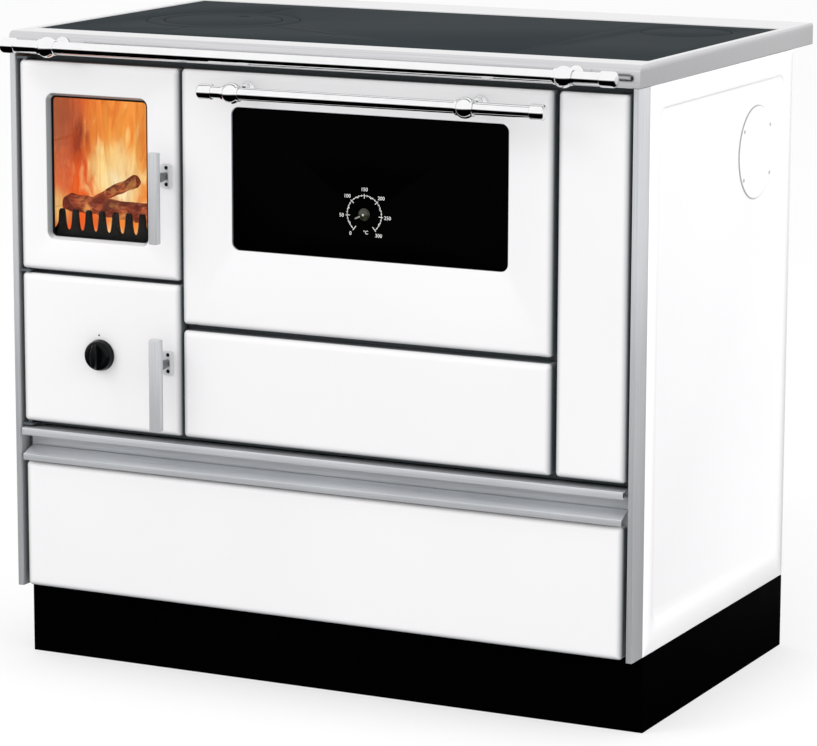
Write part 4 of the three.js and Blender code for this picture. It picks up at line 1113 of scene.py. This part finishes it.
def mark(r0, r1, ang, width, y0=3.28, y1=3.12):
    c, sn = math.cos(ang), math.sin(ang)
    q = [(r0, -width / 2), (r1, -width / 2), (r1, width / 2), (r0, width / 2)]
    s.loft([[(DX + r * c - w * sn, y, DZ + r * sn + w * c) for r, w in q] for y in (y0, y1)])


def arc_mark(r0, r1, a0, a1, steps=4):
    pts = [(r1, a0 + (a1 - a0) * i / steps) for i in range(steps + 1)]
    pts += [(r0, a1 + (a0 - a1) * i / steps) for i in range(steps + 1)]
    s.loft([[(DX + r * math.cos(a), y, DZ + r * math.sin(a)) for r, a in pts] for y in (3.28, 3.12)])


for v in range(0, 300, 10):
    a, b = dial_angle(v + 2.6), dial_angle(v + 7.4)
    arc_mark(24.0, 24.7, a, b, 2)
for v in range(0, 301, 50):
    mark(20.6 if v not in (0, 300) else 19.2, 26.4, dial_angle(v), 0.8)
for v in range(25, 300, 50):
    mark(22.6, 24.9, dial_angle(v), 1.5)
for v in range(10, 300, 10):
    if v % 50 and v % 50 != 25:
        mark(23.3, 25.3, dial_angle(v), 0.9)
dial = s.make("dial_marks", MAT["white_paint"], "oven_door", "white_paint", smooth=False)


def number(text, x, z, size):
    c = bpy.data.curves.new("n_" + text, "FONT")
    c.body = text
    c.size = size / 1000.0
    c.align_x, c.align_y = "CENTER", "CENTER"
    c.extrude = 0.00008
    c.resolution_u = 3
    o = bpy.data.objects.new("n_" + text, c)
    bpy.context.scene.collection.objects.link(o)
    bpy.context.view_layer.update()
    me = bpy.data.meshes.new_from_object(o)
    me.transform(Matrix.Translation(P(x, 3.2, z)) @ Matrix.Rotation(math.radians(90), 4, "X"))
    bpy.data.objects.remove(o)
    return me


labels = [("0", 0, 32.0), ("50", 50, 32.5), ("100", 100, 33.0), ("150", 150, 32.0), ("200", 200, 32.5), ("250", 250, 33.0), ("300", 300, 33.0)]
texts = []
for txt, v, r in labels:
    a = dial_angle(v)
    texts.append(number(txt, DX + r * math.cos(a), DZ + r * math.sin(a), 6.6))
texts.append(number("°C", DX + 2.0, DZ - 23.0, 6.6))
bm = bmesh.new()
for me in texts:
    bm.from_mesh(me)
bmesh.ops.remove_doubles(bm, verts=bm.verts, dist=1e-6)
me = bpy.data.meshes.new("dial_numbers")
bm.to_mesh(me)
bm.free()
for t_ in texts:
    bpy.data.meshes.remove(t_)
o = bpy.data.objects.new("dial_numbers", me)
bpy.context.scene.collection.objects.link(o)
me.materials.append(MAT["white_paint"])
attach(o, "oven_door")


def m_hub():
    t = Tree("dial_hub")
    n = t.noise(220.0, 4.0)
    col = t.ramp(n, [(0.3, (0.012, 0.012, 0.006)), (0.7, (0.035, 0.034, 0.02))])
    # polished cap in the middle
    p = t.xyz()
    dx, dz = t.math("ADD", p[0], -0.073), t.math("ADD", p[2], -0.641)
    d = t.math("SQRT", t.math("ADD", t.math("MULTIPLY", dx, dx), t.math("MULTIPLY", dz, dz)))
    rings = t.curve(t.span(d, 0.0, 1.0, 0.0, 0.008), [(0.0, 0.85), (0.14, 0.85), (0.22, 0.0), (1.0, 0.0)])
    col = t.mix(rings, col, (0.62, 0.62, 0.58))
    t.bsdf(col, t.span(n, 0.12, 0.22), None, Specular_IOR_Level=0.6)
    return t.mat


MAT["dial_hub"] = m_hub()
s = Soup()
s.lathe(
    [(1.7, 2.25), (6.6, 2.2), (7.5, 2.3), (8.0, 2.6), (8.0, 3.0), (5.6, 3.0), (5.6, 7.5), (19.0, 7.5), (19.0, 12.6), (4.0, 12.6), (4.0, 30.0), (1.7, 30.0)],
    about_y(DX, DZ), 40,
)
s.make("dial_hub_ring", MAT["dial_hub"], "oven_door", "sheet_steel", ("thermometer_body",))
s = Soup()
a = math.radians(205.0)
c, sn = math.cos(a), math.sin(a)


def needle_pt(u, v):
    return (DX + u * c - v * sn, DZ + u * sn + v * c)


outline = [(5.6, -1.0), (12.6, -0.75), (13.6, -0.4), (13.8, 0.0), (13.6, 0.4), (12.6, 0.75), (5.6, 1.0)]
s.loft([[(needle_pt(u, v)[0], y, needle_pt(u, v)[1]) for u, v in outline] for y in (1.5, 0.9, 0.7)])
prof = [(0, -0.95), (1.4, -0.9), (2.6, -0.6), (3.6, -0.1), (4.4, 0.4), (5.4, 0.7), (6.4, 0.9), (6.8, 1.3), (6.8, 1.7), (1.3, 1.8), (1.3, 8.4), (0, 8.4)]
s.lathe(prof, about_y(DX, DZ), 40, mat=1)
s.make(
    "needle", m_brushed("needle_steel", (0.20, 0.20, 0.195), (0.36, 0.36, 0.35), 0, (0.4, 0.5), metallic=0.2), "thermometer", "white_paint",
    ("thermometer_needle",), mats=[MAT["dial_hub"]],
)

# ------------------------------------------------------------------ fire: logs, embers and flames
def wobble(v, k, amp):
    return amp * noise.noise(Vector((v[0] * k, v[1] * k, v[2] * k)))


def log_piece(s, a, b, ra, rb, seed, rows=18, n=18):
    """A rough round log between two points, its ends slightly domed."""
    a, b = Vector(a), Vector(b)
    ax = (b - a).normalized()
    side = ax.cross(Vector((0, 0, 1))).normalized()
    top = side.cross(ax)
    loops = []
    for i in range(rows + 1):
        f = i / rows
        c = a.lerp(b, f)
        r = ra + (rb - ra) * f
        if i in (0, rows):
            r *= 0.8
        loop = []
        for j in range(n):
            w = 2 * math.pi * j / n
            d = side * math.cos(w) + top * math.sin(w)
            q = c + d * r
            loop.append(tuple(q + d * (wobble((q.x + seed * 31.0, q.y, q.z), 0.09, 0.26 * r) + wobble((q.x - seed * 17.0, q.y, q.z), 0.21, 0.12 * r))))
        loops.append(loop)
    s.loft(loops)


s = Soup()
log_piece(s, (-396.5, 52, 621), (-238, 56, 610), 11.5, 12.5, 1)
log_piece(s, (-374, 86, 620), (-311, 86, 651), 4.8, 9.0, 2)
log_piece(s, (-330, 60, 556), (-300, 300, 560), 15.0, 17.0, 3)
log_piece(s, (-372, 150, 566), (-350, 420, 572), 17.0, 16.0, 4)
s.make("logs", m_log(), "stove_body", "firebrick").visible_glossy = False

# ember bed, heaped on the grate
s = Soup()
nx_, ny_ = 26, 60
grid_top = []
for j in range(ny_ + 1):
    row = []
    for i in range(nx_ + 1):
        x = -400.0 + 166.0 * i / nx_
        y = 38.0 + 420.0 * j / ny_
        h = 13.0 + 11.0 * noise.noise(Vector((x * 0.07, y * 0.07, 3.0))) + 5.0 * noise.noise(Vector((x * 0.2, y * 0.2, 9.0)))
        row.append((x, y, 538.0 + max(2.0, h)))
    grid_top.append(row)
verts, faces = [], []
for row in grid_top:
    verts += row
nt = len(verts)
for row in grid_top:
    verts += [(x, y, 535.2) for x, y, _ in row]
w_ = nx_ + 1
for j in range(ny_):
    for i in range(nx_):
        q = (j * w_ + i, j * w_ + i + 1, (j + 1) * w_ + i + 1, (j + 1) * w_ + i)
        faces.append(q)
        faces.append(tuple(v + nt for v in reversed(q)))
border = [i for i in range(nx_)] + [j * w_ + nx_ for j in range(ny_)] + [ny_ * w_ + i for i in range(nx_, 0, -1)] + [j * w_ for j in range(ny_, 0, -1)]
for a_, b_ in zip(border, border[1:] + border[:1]):
    faces.append((a_, b_, b_ + nt, a_ + nt))
s.put(verts, faces)
s.make("ember_bed", m_ember(), "stove_body", "firebrick").visible_glossy = False


def tongue(s, x, y, z0, z1, rx, ry, seed, n=14, rows=22):
    """A tongue of flame: swells over its foot, leans to and fro, and ends in a point."""
    loops = []
    for i in range(rows + 1):
        f = i / rows
        swell = (0.72 + 0.28 * math.sin(math.pi * min(1.0, f * 1.6))) * (1.0 - f ** 9) if f < 1 else 0.0
        r = max(0.02, swell)
        dx = 5.0 * f * math.sin(seed * 2.1 + f * 5.0)
        dy = 3.0 * f * math.sin(seed * 1.3 + f * 4.0)
        z = z0 + (z1 - z0) * f
        loops.append([(x + dx + rx * r * math.cos(2 * math.pi * j / n), y + dy + ry * r * math.sin(2 * math.pi * j / n), z) for j in range(n)])
    s.loft(loops)


s = Soup()
k = 0
for i in range(6):
    tongue(s, -391.0, 76.0 + 15.0 * i, 548.0, 812.0 - 4.0 * (i % 2), 8.0, 14.0, k)
    k += 1
for i in range(8):
    tongue(s, -381.0 + 18.2 * i, 146.0 + 5.0 * (i % 2), 548.0, 802.0 + 5.0 * ((i * 3) % 4), 15.0, 9.0, k)
    k += 1
for i in range(9):
    tongue(s, -383.0 + 16.6 * i, 190.0 + 8.0 * (i % 2), 548.0, 800.0 + 6.0 * ((i * 5) % 3), 14.0, 11.0, k)
    k += 1
flames = s.make("flames", m_flame(), "stove_body", "firebrick")
flames.visible_glossy = False

# ------------------------------------------------------------------ CAD nodes still showing
SHOWN_BEVEL = {
    "plinth": 0.0012, "left_post": 0.0005, "right_post": 0.0005, "front_frame": 0.0005, "trim_channel": 0.0004, "drawer_grip": 0.0004,
    "hob_plate_left": 0.0006, "hob_plate_right": 0.0006, "hob_lid": 0.0006, "grate": 0.001, "fire_guard": 0.0008, "ash_pan": 0.0004,
    "oven_box": 0.0015, "drawer_box": 0.0004, "back_panel": 0.0003, "flue_collar": 0.0004,
}
for name, o in NODES.items():
    if name == "back_panel":
        dress(o, 0.0, dissolve=False)
    else:
        dress(o, SHOWN_BEVEL.get(name, 0.0003))

# ------------------------------------------------------------------ floor and light
bpy.ops.mesh.primitive_grid_add(x_subdivisions=2, y_subdivisions=2, size=60.0, location=(0, 0, 0))
floor = bpy.context.active_object
floor.name = "floor"


def m_floor():
    t = Tree("pale_floor")
    n = t.noise(1.2, 3.0)
    col = t.ramp(n, [(0.3, (0.93, 0.93, 0.93)), (0.7, (0.95, 0.95, 0.95))])
    n = t.bsdf((0.42, 0.42, 0.42), 0.9, None, Specular_IOR_Level=0.0)
    t.link(col, n.inputs["Emission Color"])
    n.inputs["Emission Strength"].default_value = 0.58
    return t.mat


floor.data.materials.append(m_floor())
floor.visible_glossy = False

world = bpy.data.worlds.new("studio")
bpy.context.scene.world = world
world.use_nodes = True
wt = world.node_tree
wt.nodes.clear()
wo = wt.nodes.new("ShaderNodeOutputWorld")
bg = wt.nodes.new("ShaderNodeBackground")
tc = wt.nodes.new("ShaderNodeTexCoord")
sx = wt.nodes.new("ShaderNodeSeparateXYZ")
rp = wt.nodes.new("ShaderNodeValToRGB")
wt.links.new(tc.outputs["Generated"], sx.inputs[0])
mr = wt.nodes.new("ShaderNodeMapRange")
mr.inputs["From Min"].default_value = -1.0
wt.links.new(sx.outputs[2], mr.inputs["Value"])
wt.links.new(mr.outputs["Result"], rp.inputs["Fac"])
els = rp.color_ramp.elements
# position = (sin(elevation) + 1) / 2
stops = [(0.0, 0.0), (0.375, 0.0), (0.405, 0.24), (0.43, 0.55), (0.474, 1.0), (1.0, 1.0)]
while len(els) < len(stops):
    els.new(0.5)
for e, (p, v) in zip(els, stops):
    e.position = p
    e.color = (v, v, v, 1)
wt.links.new(rp.outputs[0], bg.inputs["Color"])
bg.inputs["Strength"].default_value = 1.0
wt.links.new(bg.outputs[0], wo.inputs["Surface"])


def area(name, loc, target, size, power):
    d = bpy.data.lights.new(name, "AREA")
    d.shape = "RECTANGLE"
    d.size, d.size_y = size
    d.energy = power
    o = bpy.data.objects.new(name, d)
    bpy.context.scene.collection.objects.link(o)
    o.location = loc
    o.rotation_euler = (Vector(target) - Vector(loc)).to_track_quat("-Z", "Y").to_euler()
    o.visible_glossy = False
    return o


area("key", (-2.6, -3.4, 3.4), (0, 0, 0.45), (2.6, 2.6), 60.0)
area("side", (4.2, -1.4, 2.4), (0.3, 0, 0.45), (2.4, 2.4), 45.0)
area("low_side", (3.5, 0.3, 0.6), (0.45, 0.1, 0.4), (1.5, 1.5), 22.0)
